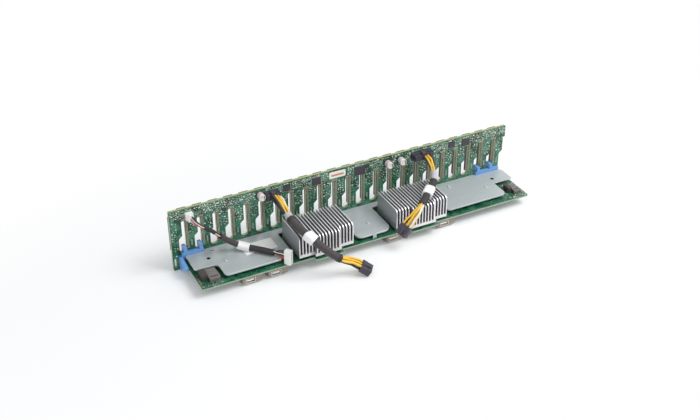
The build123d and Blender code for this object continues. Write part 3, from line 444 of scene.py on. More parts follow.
def add_block(shape, low, high, material_index=0, bevel=0.0, place=None):
    """A box between two corners in millimetres, with its edges broken by a bevel if one is given."""
    centre = metres((a + b) / 2 for a, b in zip(low, high))
    size = metres(abs(b - a) for a, b in zip(low, high))
    matrix = (place or Matrix.Identity(4)) @ Matrix.Translation(centre) @ Matrix.Diagonal((*size, 1))
    corners = bmesh.ops.create_cube(shape, size=1, matrix=matrix)["verts"]
    faces = list({face for corner in corners for face in corner.link_faces})
    for face in faces:
        face.material_index = material_index
    if bevel:
        edges = list({edge for corner in corners for edge in corner.link_edges})
        made = bmesh.ops.bevel(shape, geom=edges, offset=bevel * MM, segments=2, profile=0.5, affect="EDGES")
        for face in made["faces"]:
            face.material_index = material_index


def add_blocks(shape, blocks, place=None):
    """Several boxes, each a low corner, a high corner, a material index and a bevel."""
    for low, high, material_index, bevel in blocks:
        add_block(shape, low, high, material_index, bevel, place)


def join_rings(shape, before, after, material_index=0, smooth=False):
    """Faces between two rings with as many points each."""
    faces = []
    for step in range(len(before)):
        following = (step + 1) % len(before)
        face = shape.faces.new((before[step], before[following], after[following], after[step]))
        face.material_index = material_index
        face.smooth = smooth
        faces.append(face)
    return faces


def add_hollow_block(shape, low, high, wall, depth, outer, inner, place):
    """A box with a square mouth let into its far end, such as one cell of a plug."""
    rings = []
    for inset, level in ((0, low[2]), (0, high[2]), (wall, high[2]), (wall, high[2] - depth)):
        left, right, near, far = low[0] + inset, high[0] - inset, low[1] + inset, high[1] - inset
        rings.append([shape.verts.new(place @ Vector(metres((x, y, level))))
                      for x, y in ((left, near), (right, near), (right, far), (left, far))])
    for before, after, finish_number in zip(rings, rings[1:], (outer, outer, inner)):
        join_rings(shape, before, after, finish_number)
    shape.faces.new(rings[0][::-1]).material_index = outer
    shape.faces.new(rings[3]).material_index = inner


def add_turned(shape, profile, place, sides, material_index=0):
    """A turned form round the local Z axis from (radius, height) pairs that start and end on the axis."""
    angles = [2 * math.pi * step / sides for step in range(sides)]
    rings = []
    for radius, height in profile:
        ring = [(radius * math.cos(angle), radius * math.sin(angle), height)
                for angle in (angles if radius else angles[:1])]
        rings.append([shape.verts.new(place @ Vector(metres(point))) for point in ring])
    for before, after in zip(rings, rings[1:]):
        for step in range(sides):
            following = (step + 1) % sides
            if len(before) == 1:
                ring = [before[0], after[following], after[step]]
            elif len(after) == 1:
                ring = [before[step], before[following], after[0]]
            else:
                ring = [before[step], before[following], after[following], after[step]]
            face = shape.faces.new(ring)
            face.material_index = material_index
            face.smooth = True


def local_frame(origin, across, heading):
    """Local X along across, local Z along heading, from an origin in millimetres."""
    side = Vector(across).normalized()
    ahead = Vector(heading).normalized()
    turn = Matrix((side, ahead.cross(side), ahead)).transposed().to_4x4()
    return Matrix.Translation(metres(origin)) @ turn


# Flat work is drawn in the XY plane, then laid on a face of a board
ON_FRONT = Matrix.Translation(metres((0, BOARD_FRONT, 0))) @ Matrix.Rotation(math.pi / 2, 4, "X")
ON_BACK = (Matrix.Translation(metres((0, BOARD_BACK, 0))) @ Matrix.Rotation(math.pi, 4, "Z")
           @ Matrix.Rotation(math.pi / 2, 4, "X"))
ON_EXPANDER = Matrix.Translation(metres((0, 0, EXPANDER_TOP)))
ON_BRACKET = Matrix.Translation(metres((0, 0, BRACKET_TOP)))


# Geometry trees for what repeats

def new_tree(name, sockets):
    """A geometry tree with named inputs for its sizes, what adds nodes to it, and its inputs as sockets."""
    tree = bpy.data.node_groups.new(name, "GeometryNodeTree")
    for label, kind in (("Geometry", "Geometry"), *sockets):
        tree.interface.new_socket(label, in_out="INPUT", socket_type="NodeSocket" + kind)
    tree.interface.new_socket("Geometry", in_out="OUTPUT", socket_type="NodeSocketGeometry")
    add = partial(add_node, tree)
    return tree, add, add("NodeGroupInput").outputs


def close_tree(add, geometry, finish):
    """End a tree: make its instances real, set one material and put the result out."""
    real = add("RealizeInstances", {"Geometry": geometry})
    dressed = add("SetMaterial", {"Geometry": real, "Material": finish})
    add("NodeGroupOutput", {0: dressed})


def rows_tree():
    """Repeat one shape in columns, rows and bays."""
    counts = ("Columns", "Rows", "Bays")
    sockets = [socket for count in counts for socket in ((count, "Int"), (count + " Step", "Vector"))]
    tree, add, given = new_tree("rows", (*sockets, ("Finish", "Material")))
    repeated = given["Geometry"]
    for count in counts:
        line = add("MeshLine", {"Count": given[count], "Offset": given[count + " Step"]}, mode="OFFSET")
        repeated = add("InstanceOnPoints", {"Points": line, "Instance": repeated})
    close_tree(add, repeated, given["Finish"])
    return tree


def leads_tree():
    """Set one lead at every step along the drawn lines."""
    sockets = (("Pitch", "Float"), ("Lead Size", "Vector"), ("Finish", "Material"))
    tree, add, given = new_tree("leads", sockets)
    lines = add("MeshToCurve", {0: given["Geometry"]})
    spaced = add("ResampleCurve", {"Curve": lines, "Length": given["Pitch"]}, mode="LENGTH")
    lead = add("MeshCube", {"Size": given["Lead Size"]})
    placed = add("InstanceOnPoints", {"Points": spaced, "Instance": lead})
    close_tree(add, placed, given["Finish"])
    return tree


def rod_tree():
    """A round rod along the drawn lines."""
    tree, add, given = new_tree("rod", (("Radius", "Float"), ("Sides", "Int"), ("Finish", "Material")))
    lines = add("MeshToCurve", {0: given["Geometry"]})
    ring = add("CurvePrimitiveCircle", {"Resolution": given["Sides"], "Radius": given["Radius"]})
    rod = add("CurveToMesh", {"Curve": lines, "Profile Curve": ring, "Fill Caps": True})
    close_tree(add, rod, given["Finish"])
    return tree


SMALL_FINISHES = (TINNED, TAN_CERAMIC, DARK_CERAMIC, PALE_CERAMIC, EPOXY, SCREEN_INK)
TIN, TAN, DARK, PALE, CASE, INK = range(6)
# Capacitors, resistors, packages, ink marks and pads: body length, width and height, end cap length, finish
SMALL_KINDS = (
    (1.1, 1.0, 0.8, 0.35, TAN),
    (1.1, 0.8, 0.4, 0.3, PALE),
    (1.1, 0.8, 0.4, 0.3, DARK),
    (1.9, 1.5, 0.9, 0.3, CASE),
    (2.0, 0.35, 0.06, 0.0, INK),
    (1.2, 1.0, 0.8, 0.35, PALE),
    (1.4, 1.0, 0.1, 0.0, TIN),
    (2.0, 1.2, 0.35, 0.2, PALE),
    (0.5, 1.6, 0.06, 0.0, INK),
    (1.0, 1.0, 0.5, 0.3, TAN),
)
# End caps stand a little proud of the body, and each part is drawn between two shares of its size
CAP_SHARE = 1.06
SMALLEST, LARGEST = 0.8, 1.05
SMALL_REACH = max(length / 2 + cap for length, _, _, cap, _ in SMALL_KINDS) * LARGEST
# Points tried per square metre, far more than the spacing leaves room for
TRIES = 1.5e6


def small_parts_tree():
    """Scatter small soldered parts over flat zones, square to the board, never nearer than a spacing."""
    labels = [f"Finish {number}" for number in range(len(SMALL_FINISHES))]
    tree, add, given = new_tree("small_parts", (("Spacing", "Float"), ("Seed", "Int"),
                                           *((label, "Material") for label in labels)))
    kinds = []
    for length, width, height, cap, body_finish in SMALL_KINDS:
        solids = [((length, width, height), 0.0, body_finish)]
        if cap:
            cap_size = (cap, width * CAP_SHARE, height * CAP_SHARE)
            solids += [(cap_size, side * (length + cap) / 2, TIN) for side in (1, -1)]
        marked = []
        for size, offset, finish_number in solids:
            cube = add("MeshCube", {"Size": metres(size)})
            moved = add("Transform", {"Geometry": cube, "Translation": metres((offset, 0, size[2] / 2))})
            marked.append(add("StoreNamedAttribute", data_type="INT", domain="FACE", inputs={
                "Geometry": moved, "Name": "finish_number", "Value": finish_number}))
        kinds.append(add("JoinGeometry", {0: marked[::-1]}))
    chosen = add("GeometryToInstance", {0: kinds[::-1]})
    points = add("DistributePointsOnFaces",
                 {"Mesh": given["Geometry"], "Distance Min": given["Spacing"], "Density Max": TRIES,
                  "Seed": given["Seed"]}, distribute_method="POISSON")
    turns = add("FunctionNodeRandomValue", {4: 0, 5: 3, 8: given["Seed"]}, data_type="INT")
    angle = add("ShaderNodeMath", {0: turns, 1: math.pi / 2}, operation="MULTIPLY")
    turned = add("ShaderNodeCombineXYZ", {2: angle})
    size = add("FunctionNodeRandomValue", {2: SMALLEST, 3: LARGEST, 8: given["Seed"]}, data_type="FLOAT")
    pick = add("FunctionNodeRandomValue", {4: 0, 5: len(SMALL_KINDS) - 1, 8: given["Seed"]}, data_type="INT")
    placed = add("InstanceOnPoints",
                 {"Points": points, "Instance": chosen, "Pick Instance": True, "Instance Index": pick,
                  "Rotation": turned, "Scale": size})
    dressed = add("RealizeInstances", {"Geometry": placed})
    number = add("InputNamedAttribute", {"Name": "finish_number"}, data_type="INT")
    for index, label in enumerate(labels):
        same = add("FunctionNodeCompare", {2: number, 3: index}, data_type="INT", operation="EQUAL")
        dressed = add("SetMaterial", {"Geometry": dressed, "Selection": same, "Material": given[label]})
    add("NodeGroupOutput", {0: dressed})
    return tree


ROWS = rows_tree()
LEADS = leads_tree()
ROD = rod_tree()
SMALL_PARTS = small_parts_tree()


def grow(name, base, tree, values, place):
    """Run a geometry tree on a base mesh and keep its result as a plain mesh piece."""
    holder = link_object(name + "_base", base)
    modifier = holder.modifiers.new("grow", "NODES")
    modifier.node_group = tree
    keys = {item.name: item.identifier for item in tree.interface.items_tree if item.in_out == "INPUT"}
    for label, value in values.items():
        modifier[keys[label]] = value
    mesh = bpy.data.meshes.new_from_object(holder.evaluated_get(bpy.context.evaluated_depsgraph_get()))
    bpy.data.objects.remove(holder)
    mesh.transform(place)
    if "finish_number" in mesh.attributes:
        mesh.attributes.remove(mesh.attributes["finish_number"])
    return add_piece(name, mesh)


def block_mesh(low, high):
    """One block as a base mesh for the rows."""
    shape = bmesh.new()
    add_block(shape, low, high)
    return finish_mesh(shape, "unit")


def bar_mesh(profile, left, right):
    """A straight bar along X from a profile of (height, depth) pairs."""
    shape = bmesh.new()
    ends = [[shape.verts.new(metres((x, height, depth))) for height, depth in profile] for x in (left, right)]
    join_rings(shape, *ends)
    for end in ends:
        shape.faces.new(end)
    return finish_mesh(shape, "unit")


def pin_mesh(radius, height, place):
    """One soldered pin: a six sided cone end with a flat tip."""
    shape = bmesh.new()
    profile = ((0, 0), (radius, 0), (radius * 0.55, height), (0, height))
    add_turned(shape, profile, Matrix.Translation(metres(place)), 6)
    return finish_mesh(shape, "unit")


def add_rows(name, unit, columns, rows, bays, finish, place):
    """Repeat a unit: columns, rows and bays are each a count and a step in millimetres."""
    values = {"Finish": finish}
    for label, (count, step) in (("Columns", columns), ("Rows", rows), ("Bays", bays)):
        values[label] = count
        values[label + " Step"] = metres(step)
    return grow(name, unit, ROWS, values, place)


def lines_mesh(lines):
    """Open lines as a mesh of edges, each a list of points in millimetres."""
    points = []
    edges = []
    for line in lines:
        first = len(points)
        points += [metres(point) for point in line]
        edges += [(first + step, first + step + 1) for step in range(len(line) - 1)]
    mesh = bpy.data.meshes.new("lines")
    mesh.from_pydata(points, edges, [])
    return mesh


def zones_mesh(zones):
    """Flat rectangles in millimetres as one mesh."""
    points = []
    faces = []
    for left, right, low, high in zones:
        first = len(points)
        points += [metres((x, y, 0)) for x, y in ((left, low), (right, low), (right, high), (left, high))]
        faces.append(range(first, first + 4))
    mesh = bpy.data.meshes.new("zones")
    mesh.from_pydata(points, [], faces)
    return mesh


def cut_out(zones, holes):
    """The rectangles with every hole taken out of them."""
    for left, right, low, high in holes:
        kept = []
        for zone in zones:
            if right <= zone[0] or left >= zone[1] or high <= zone[2] or low >= zone[3]:
                kept.append(zone)
                continue
            if left > zone[0]:
                kept.append((zone[0], left, zone[2], zone[3]))
            if right < zone[1]:
                kept.append((right, zone[1], zone[2], zone[3]))
            inner = (max(left, zone[0]), min(right, zone[1]))
            if low > zone[2]:
                kept.append((*inner, zone[2], low))
            if high < zone[3]:
                kept.append((*inner, high, zone[3]))
        zones = kept
    return zones


# A field that is narrower than this, once drawn in by the reach of a part, is left bare
THINNEST_FIELD = 0.2


def scatter(name, zones, holes, spacing, seed, place):
    """Small parts over the zones, clear of the holes, at a spacing in millimetres."""
    inset = [(left + SMALL_REACH, right - SMALL_REACH, low + SMALL_REACH, high - SMALL_REACH)
             for left, right, low, high in cut_out(zones, holes)
             if min(right - left, high - low) > 2 * SMALL_REACH + THINNEST_FIELD]
    finishes = {f"Finish {number}": material for number, material in enumerate(SMALL_FINISHES)}
    values = {"Spacing": spacing * MM, "Seed": seed, **finishes}
    return grow(name, zones_mesh(inset), SMALL_PARTS, values, place)


def slot_left(index):
    """Left side of a bay's slot."""
    return SLOT_START + BAY_PITCH * index


# Cables

POWER_LEFT_ROUTE = (
    (-93.2, PLUG_FACE, 66.1),
    (-93.2, -20.5, 66.1),
    (-89.6, -33.5, 54.6),
    (-87.4, -51.5, 48.8),
    (-83.4, -68.5, 47.8),
    (-74.0, -81.1, 38.5),
    (-65.1, -87.5, 29.5),
    (-55.1, -92.1, 21.5),
    (-39.5, -93.6, 14.4),
    (-34.0, -97.6, 10.3),
)
POWER_RIGHT_ROUTE = (
    (97.3, PLUG_FACE, 66.6),
    (97.3, -20.0, 66.6),
    (96.6, -30.0, 55.5),
    (90.2, -40.0, 49.3),
    (77.0, -51.0, 47.9),
    (63.2, -65.0, 47.6),
    (51.3, -74.5, 43.4),
    (42.3, -76.5, 37.0),
    (34.8, -76.5, 28.0),
)
SIGNAL_ROUTE = (
    (-189.5, PLUG_FACE, 66.0),
    (-189.5, -19.5, 66.0),
    (-182.6, -22.8, 60.8),
    (-172.9, -20.5, 52.0),
    (-159.7, -19.0, 37.6),
    (-148.2, -19.0, 27.0),
    (-137.7, -24.0, 22.4),
    (-124.7, -35.5, 21.8),
    (-113.7, -47.8, 21.8),
    (-105.2, -58.5, 21.8),
)
RIGHT_PLUG_ROLL = math.radians(63.0)


def heading(route):
    """The direction of a route's last run."""
    return Vector(route[-1]) - Vector(route[-2])


def route_line(route):
    """The smooth line of a cable in metres: a NURBS spline whose control points are the route's points."""
    curve = bpy.data.curves.new("route", "CURVE")
    curve.dimensions = "3D"
    spline = curve.splines.new("NURBS")
    spline.points.add(len(route) - 1)
    for point, place in zip(spline.points, route):
        point.co = (*metres(place), 1)
    spline.order_u = 3
    spline.use_endpoint_u = True
    spline.resolution_u = 16
    holder = link_object("route", curve)
    mesh = bpy.data.meshes.new_from_object(holder)
    line = [vertex.co.copy() for vertex in mesh.vertices]
    bpy.data.objects.remove(holder)
    bpy.data.meshes.remove(mesh)
    return line


class Guide:
    """A cable's line with a frame at each point, turned so that its far end matches the plug there."""

    def __init__(self, route, across):
        self.line = route_line(route)
        self.at = [0.0]
        for before, after in zip(self.line, self.line[1:]):
            self.at.append(self.at[-1] + (after - before).length)
        self.length = self.at[-1]
        last = len(self.line) - 1
        self.frames = [None] * (last + 1)
        side = Vector(across).normalized()
        for index in range(last, -1, -1):
            tangent = (self.line[min(index + 1, last)] - self.line[max(index - 1, 0)]).normalized()
            side = (side - tangent * side.dot(tangent)).normalized()
            self.frames[index] = (side, tangent.cross(side))

    def section(self, start, end):
        """Point, sideways, upward and distance along, for each point between two distances in mm."""
        low, high = start * MM, min(end * MM, self.length + 1e-6)
        return [(point, side, up, along) for point, (side, up), along in zip(self.line, self.frames, self.at)
                if low <= along <= high]


# The braid's pattern: strands round the sleeve, and the length of cable that one repeat takes
BRAID_STRANDS = 12
BRAID_REPEAT = 2.4 * MM


def add_tube(shape, section, radii, sides, material_index, shift=None, power=1.0):
    """A closed tube round a section of a guide, moved sideways by shift if given.

    It is oval if its two radii differ, and squarer the lower its power is.
    """
    layer = shape.loops.layers.uv.verify()
    rings = []
    for point, side, up, along in section:
        if shift:
            sideways, upward = shift(along / MM)
            point = point + side * sideways * MM + up * upward * MM
        ring = []
        for step in range(sides):
            angle = 2 * math.pi * step / sides
            reach_side, reach_up = (math.copysign(abs(part) ** power, part) * radius * MM
                                    for part, radius in zip((math.cos(angle), math.sin(angle)), radii))
            ring.append(shape.verts.new(point + side * reach_side + up * reach_up))
        rings.append(ring)
    for before, after, here, there in zip(rings, rings[1:], section, section[1:]):
        for step, face in enumerate(join_rings(shape, before, after, material_index, True)):
            start, end = BRAID_STRANDS * step / sides, BRAID_STRANDS * (step + 1) / sides
            low, high = here[3] / BRAID_REPEAT, there[3] / BRAID_REPEAT
            for loop, place in zip(face.loops, ((start, low), (end, low), (end, high), (start, high))):
                loop[layer].uv = place
    for ring in (rings[0], rings[-1]):
        shape.faces.new(ring).material_index = material_index


def ease(value):
    """0 to 1 with a soft start and end."""
    value = min(max(value, 0.0), 1.0)
    return value * value * (3 - 2 * value)


def add_wires(shape, section, wires, spread_at, gather_at, radius, gathered):
    """Separate wires that leave a plug side by side and gather into a round bundle.

    wires lists (sideways, upward, material index) at the plug, in millimetres.
    """
    for index, (sideways, upward, material_index) in enumerate(wires):
        angle = math.atan2(upward, sideways) + 0.15 * index
        home = (gathered * math.cos(angle), gathered * math.sin(angle))

        def shift(along, plug=(sideways, upward), home=home, phase=index):
            share = ease((along - spread_at) / (gather_at - spread_at))
            wander = 0.5 * math.sin(along / 3.5 + 2.1 * phase) * share * (1 - share) * 4
            return (plug[0] + (home[0] - plug[0]) * share + wander, plug[1] + (home[1] - plug[1]) * share)

        add_tube(shape, section, (radius, radius), 8, material_index, shift)


CABLE_FINISHES = [BLACK_BRAID, YELLOW_WIRE, BLACK_WIRE, WHITE_WIRE, RED_WIRE, GREY_TAPE, LABEL_PAPER,
                  BLACK_TAPE]
BRAID, YELLOW, BLACK, WHITE, RED, TAPE, PAPER, BLACK_CLOTH = range(8)
# How far the bare wires run on inside the sleeve
WIRE_OVERLAP = 3


def lay_cable(name, route, across, diameter, wraps, start_wires, end_wires, bare, radius, cad_name,
              gather_at=None):
    """One cable: sleeves, tapes and labels along it, with its wires bare at both ends.

    wraps lists (start, end, radii, squareness, material index) along it; bare is how far along the wires go
    under the sleeve and come out again; gather_at is where those at the start meet, if that is sooner.
    """
    guide = Guide(route, across)
    total = guide.length / MM
    shape = bmesh.new()
    inner = diameter / 2 - radius - 0.5
    first = inner if gather_at is None else radius * 1.7
    start_section = guide.section(0, bare[0] + WIRE_OVERLAP)
    end_section = guide.section(bare[1] - WIRE_OVERLAP, total)
    add_wires(shape, start_section, start_wires, 1.0, gather_at or bare[0], radius, first)
    add_wires(shape, end_section, end_wires, total - 2.0, bare[1], radius, inner)
    for start, end, radii, power, material_index in wraps:
        add_tube(shape, guide.section(start, end), radii, 24, material_index, power=power)
    piece = show(shape, name, CABLE_FINISHES, stands_for=cad_name)
    list(metres(route[0]))


PLUG_FINISHES = [BLACK_NYLON, EPOXY, TINNED]
NYLON, HOLLOW, CRIMP = range(3)
CELL_FOOT, CELL_MOUTH = 7.4, 12.5


def power_end_plug(name, place, cad_name):
    """A six way plug: a stepped body, six open cells with a crimp in each, and a latch arm with its pad."""
    shape = bmesh.new()
    add_blocks(shape, (((-7.0, -4.0, 0.0), (7.0, 4.0, 6.4), NYLON, 0.4),
                       ((-6.6, -3.6, 6.4), (6.6, 3.6, CELL_FOOT), NYLON, 0)), place)
    for x in (-4.5, 0.0, 4.5):
        for y in (-2.0, 2.0):
            add_hollow_block(shape, (x - 2.0, y - 1.9, CELL_FOOT), (x + 2.0, y + 1.9, CELL_MOUTH), 0.6, 4.2,
                             NYLON, HOLLOW, place)
            add_block(shape, (x - 0.5, y - 0.5, 8.3), (x + 0.5, y + 0.5, 11.6), CRIMP, 0.0, place)
    add_blocks(shape, (((-1.75, 4.0, 4.2), (1.75, 5.2, 5.4), NYLON, 0.2),
                       ((-1.75, 4.5, 5.2), (1.75, 5.2, 10.4), NYLON, 0.2),
                       ((-2.6, 4.3, 1.0), (2.6, 5.1, 5.0), NYLON, 0.2)), place)
    return show(shape, name, PLUG_FINISHES, stands_for=cad_name)


left_heading = heading(POWER_LEFT_ROUTE)
left_across = Vector((-left_heading.y, left_heading.x, 0))
left_place = local_frame(POWER_LEFT_ROUTE[-1], left_across, left_heading)
left_plug = power_end_plug("power_end_plug_left_dressed", left_place, "power_end_plug_left")
lay_cable(
    "power_cable_left_dressed", POWER_LEFT_ROUTE, left_across, 9.0,
    [(24.5, 31.5, (4.3, 4.1), 1.0, TAPE), (31.0, 107.0, (4.5, 4.5), 1.0, BRAID),
     (31.0, 36.0, (4.75, 4.7), 1.0, BLACK_CLOTH), (61.0, 73.5, (7.6, 4.9), 0.6, PAPER),
     (102.5, 107.5, (4.75, 4.7), 1.0, BLACK_CLOTH)],
    [(-5.4, 1.6, BLACK), (-5.4, -1.6, BLACK), (-1.8, 1.6, YELLOW), (-1.8, -1.6, YELLOW), (1.8, 1.6, YELLOW),
     (1.8, -1.6, YELLOW), (5.4, 1.0, WHITE)],
    [(4.5, 2.0, YELLOW), (0.0, 2.0, YELLOW), (-4.5, 2.0, YELLOW), (4.5, -2.0, WHITE), (0.0, -2.0, YELLOW),
     (-4.5, -2.0, BLACK)],
    (30.0, 108.0), 1.35, "power_cable_left")

right_heading = heading(POWER_RIGHT_ROUTE)
right_reach = math.hypot(right_heading.x, right_heading.z)
right_across = Vector((-right_heading.z * math.cos(RIGHT_PLUG_ROLL), -right_reach * math.sin(RIGHT_PLUG_ROLL),
                       right_heading.x * math.cos(RIGHT_PLUG_ROLL)))
right_place = local_frame(POWER_RIGHT_ROUTE[-1], right_across, (right_heading.x, 0, right_heading.z))
right_plug = power_end_plug("power_end_plug_right_dressed", right_place, "power_end_plug_right")
lay_cable(
    "power_cable_right_dressed", POWER_RIGHT_ROUTE, right_across, 7.6,
    [(20.5, 33.5, (3.5, 3.4), 1.0, TAPE), (33.0, 46.0, (4.3, 4.1), 0.9, BLACK_CLOTH),
     (45.0, 63.0, (3.8, 3.8), 1.0, BRAID), (47.5, 63.5, (5.9, 4.4), 0.6, PAPER),
     (62.0, 81.0, (4.2, 4.0), 0.9, BLACK_CLOTH)],
    [(-4.6, 1.2, BLACK), (-1.5, 1.4, YELLOW), (-1.5, -1.4, YELLOW), (1.5, 1.4, YELLOW), (1.5, -1.4, YELLOW),
     (4.6, 0.0, BLACK)],
    [(4.5, 2.0, WHITE), (0.0, 2.0, YELLOW), (-4.5, 2.0, YELLOW), (4.5, -2.0, YELLOW), (0.0, -2.0, YELLOW),
     (-4.5, -2.0, BLACK)],
    (20.0, 82.0), 1.25, "power_cable_right")

lay_cable(
    "signal_cable_dressed", SIGNAL_ROUTE, (0, 0, 1), 6.4,
    [(17.0, 35.0, (2.3, 2.3), 1.0, BLACK_CLOTH), (44.0, 69.0, (3.2, 3.2), 1.0, BRAID),
     (42.0, 47.0, (2.9, 2.9), 1.0, BLACK_CLOTH), (68.0, 82.5, (3.9, 5.0), 0.7, PAPER),
     (82.0, 111.0, (3.0, 3.3), 0.9, BLACK_CLOTH)],
    [(-2.4, 1.0, WHITE), (-0.8, 1.0, RED), (0.8, 1.0, WHITE), (2.4, 1.0, BLACK), (-1.6, -1.0, RED),
     (1.6, -1.0, BLACK)],
    [(5.2, 0.0, BLACK), (3.1, 0.0, BLACK), (1.0, 0.0, WHITE), (-1.1, 0.0, BLACK), (-3.2, 0.0, RED),
     (-5.2, 0.0, RED)],
    (43.0, 111.0), 0.75, "signal_cable", 14.0)


# Main board

ONCE = (1, (0, 0, 0))
EACH_SLOT = (BAY_COUNT - 1, (BAY_PITCH, 0, 0))
EACH_CONNECTOR = (BAY_COUNT, (BAY_PITCH, 0, 0))
HOLE_MARGIN = 0.4
CAN_REACH = 4.6
FIELD_END = 212.3

front_holes = [(left - HOLE_MARGIN, right + HOLE_MARGIN, low - HOLE_MARGIN, high + HOLE_MARGIN)
               for left, right, low, high in (*HEADER_BOXES, *CHIP_BOXES, LABEL_BOX)]
front_holes += [(x - CAN_REACH, x + CAN_REACH, z - CAN_REACH, z + CAN_REACH) for x, z in CAN_CENTRES]
bay_fields = [(-FIELD_END, -204.0, 24.0, 62.0)]
low_fields = [(-212.0, -204.5, 16.5, 23.5)]
for bay in range(BAY_COUNT - 1):
    side = slot_left(bay)
    bay_fields.append((side + 11.2, side + 22.0, 42.0, 61.4))
    low_fields.append((side + 11.4, side + 17.6, 21.5, 40.5))
    front_holes.append((side + 13.2, side + 15.2, 27.0, 34.5))
scatter("top_band_parts", [(-FIELD_END, FIELD_END, 62.8, 74.8)], front_holes, 1.85, 7, ON_FRONT)
scatter("bay_parts", bay_fields, front_holes, 2.5, 3, ON_FRONT)
scatter("low_bay_parts", low_fields, front_holes, 5.0, 9, ON_FRONT)
scatter("back_small_parts", [(-211.0, 211.0, 10.5, 19.5), (-205.0, 205.0, 64.8, 69.6)], [], 3.0, 11, ON_BACK)

# Beside each slot: the drive connector's pins on a brown ground, four small capacitors and a resistor pack
for name, unit, columns, rows, finish, record_slot in (
        ("pin_grounds", block_mesh((SLOT_START + 8.7, 24.5, 0), (SLOT_START + 11.2, 60.2, 0.12)),
         ONCE, ONCE, PIN_GROUND, "board"),
        ("connector_pins", pin_mesh(0.42, 0.75, (SLOT_START + 9.3, 25.5, 0.1)),
         (2, (1.35, 0, 0)), (20, (0, 1.75, 0)), TINNED, "steel"),
        ("slot_capacitors", block_mesh((SLOT_START + 4.7, 61.0, 0), (SLOT_START + 5.7, 62.6, 0.7)),
         (4, (1.75, 0, 0)), ONCE, TAN_CERAMIC, "chip"),
        ("slot_capacitor_ends", block_mesh((SLOT_START + 4.65, 60.8, 0), (SLOT_START + 5.75, 61.15, 0.75)),
         (4, (1.75, 0, 0)), (2, (0, 1.65, 0)), TINNED, "steel"),
        ("bay_resistor_packs", block_mesh((SLOT_START + 13.5, 27.5, 0), (SLOT_START + 14.9, 34.0, 0.5)),
         ONCE, ONCE, GLAZED_PACK, "chip")):
    add_rows(name, unit, columns, rows, EACH_SLOT, finish, ON_FRONT)

# Soldered pins of the four connectors that join the two boards
LINK_REACH = 26.0
LINK_COLUMNS = (27, (2.0, 0, 0))
for number, centre in enumerate(LINK_CENTRES, 1):
    add_rows(f"link_pins_front_{number}", pin_mesh(0.35, 0.8, (centre - LINK_REACH, 13.6, 0)), LINK_COLUMNS,
             (2, (0, 2.0, 0)), ONCE, TINNED, ON_FRONT)
    add_rows(f"link_pins_back_{number}", pin_mesh(0.4, 0.9, (-centre - LINK_REACH, 4.0, 0)), LINK_COLUMNS,
             (4, (0, 1.8, 0)), ONCE, TINNED, ON_BACK)

# Chips: leads on both sides, and above and below the larger ones
LEAD_OUT = 0.45
LEAD_PITCH = 0.9
LEAD_LEVEL = 0.25
WIDE_CHIP = 10.0
chip_sides = []
chip_ends = []
for left, right, low, high in CHIP_BOXES:
    for x in (left - LEAD_OUT, right + LEAD_OUT):
        chip_sides.append([(x, low + 0.7, LEAD_LEVEL), (x, high - 0.7, LEAD_LEVEL)])
    if right - left > WIDE_CHIP:
        for y in (low - LEAD_OUT, high + LEAD_OUT):
            chip_ends.append([(left + 0.9, y, LEAD_LEVEL), (right - 0.9, y, LEAD_LEVEL)])
for name, lines, size in (("chip_side_leads", chip_sides, (1.1, 0.4, 0.5)),
                          ("chip_end_leads", chip_ends, (0.4, 1.1, 0.5))):
    grow(name, lines_mesh(lines), LEADS, {"Pitch": LEAD_PITCH * MM, "Finish": TINNED,
                                          "Lead Size": metres(size)}, ON_FRONT)


def outline(left, right, low, high):
    """A closed rectangle as a line of points."""
    return [(left, low, 0), (right, low, 0), (right, high, 0), (left, high, 0), (left, low, 0)]


# Screened outlines round the headers and the chips, and round each drive connector at the back
INK_LINE = {"Radius": 0.14 * MM, "Sides": 4, "Finish": SCREEN_INK}
INK_MARGIN = 1.2
INK_LOWEST, INK_HIGHEST = 61.2, 74.2
CONNECTOR_REACH = 3.6
connector_middles = [-(slot_left(bay) + CONNECTOR_MIDDLE) for bay in range(BAY_COUNT)]
front_outlines = [outline(left - INK_MARGIN, right + INK_MARGIN,
                          max(low - INK_MARGIN, INK_LOWEST), min(high + INK_MARGIN, INK_HIGHEST))
                  for left, right, low, high in (*HEADER_BOXES, *CHIP_BOXES)]
back_outlines = [outline(middle - CONNECTOR_REACH, middle + CONNECTOR_REACH, 21.0, 65.0)
                 for middle in connector_middles]
grow("screened_outlines", lines_mesh(front_outlines), ROD, INK_LINE, ON_FRONT)
grow("screened_bay_outlines", lines_mesh(back_outlines), ROD, INK_LINE, ON_BACK)

# Drive connectors: a tongue in each recess with contact fingers on both its sides
tongue_left = connector_middles[-1] - 0.6
add_rows("connector_tongues", block_mesh((tongue_left, 28.0, 1.6), (tongue_left + 1.2, 60.0, 6.0)),
         ONCE, ONCE, EACH_CONNECTOR, DARK_LCP, ON_BACK)
add_rows("connector_fingers", block_mesh((tongue_left - 0.18, 28.6, 1.7), (tongue_left + 0.02, 29.2, 5.6)),
         (2, (1.36, 0, 0)), (25, (0, 1.27, 0)), EACH_CONNECTOR, GOLD, ON_BACK)

# Lamp blocks: a sloped smoky housing for each closed slot, with two pale lenses in its back
LAMP_PROFILE = ((70.4, 0), (74.4, 0), (74.4, 2.2), (73.9, 2.7), (72.6, 4.0), (70.4, 4.0))
LAMP_WIDTH = 10.0
lamp_left = -(slot_left(BAY_COUNT - 2) + 12.0)
lamps = add_rows("status_lamps_dressed", bar_mesh(LAMP_PROFILE, lamp_left, lamp_left + LAMP_WIDTH),
                 ONCE, ONCE, EACH_SLOT, SMOKE, ON_BACK)
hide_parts("status_lamp_blocks")
add_rows("lamp_lenses", block_mesh((lamp_left + 1.6, 70.9, 3.9), (lamp_left + 3.8, 72.3, 4.15)),
         (2, (4.6, 0, 0)), ONCE, EACH_SLOT, PALE_CERAMIC, ON_BACK)

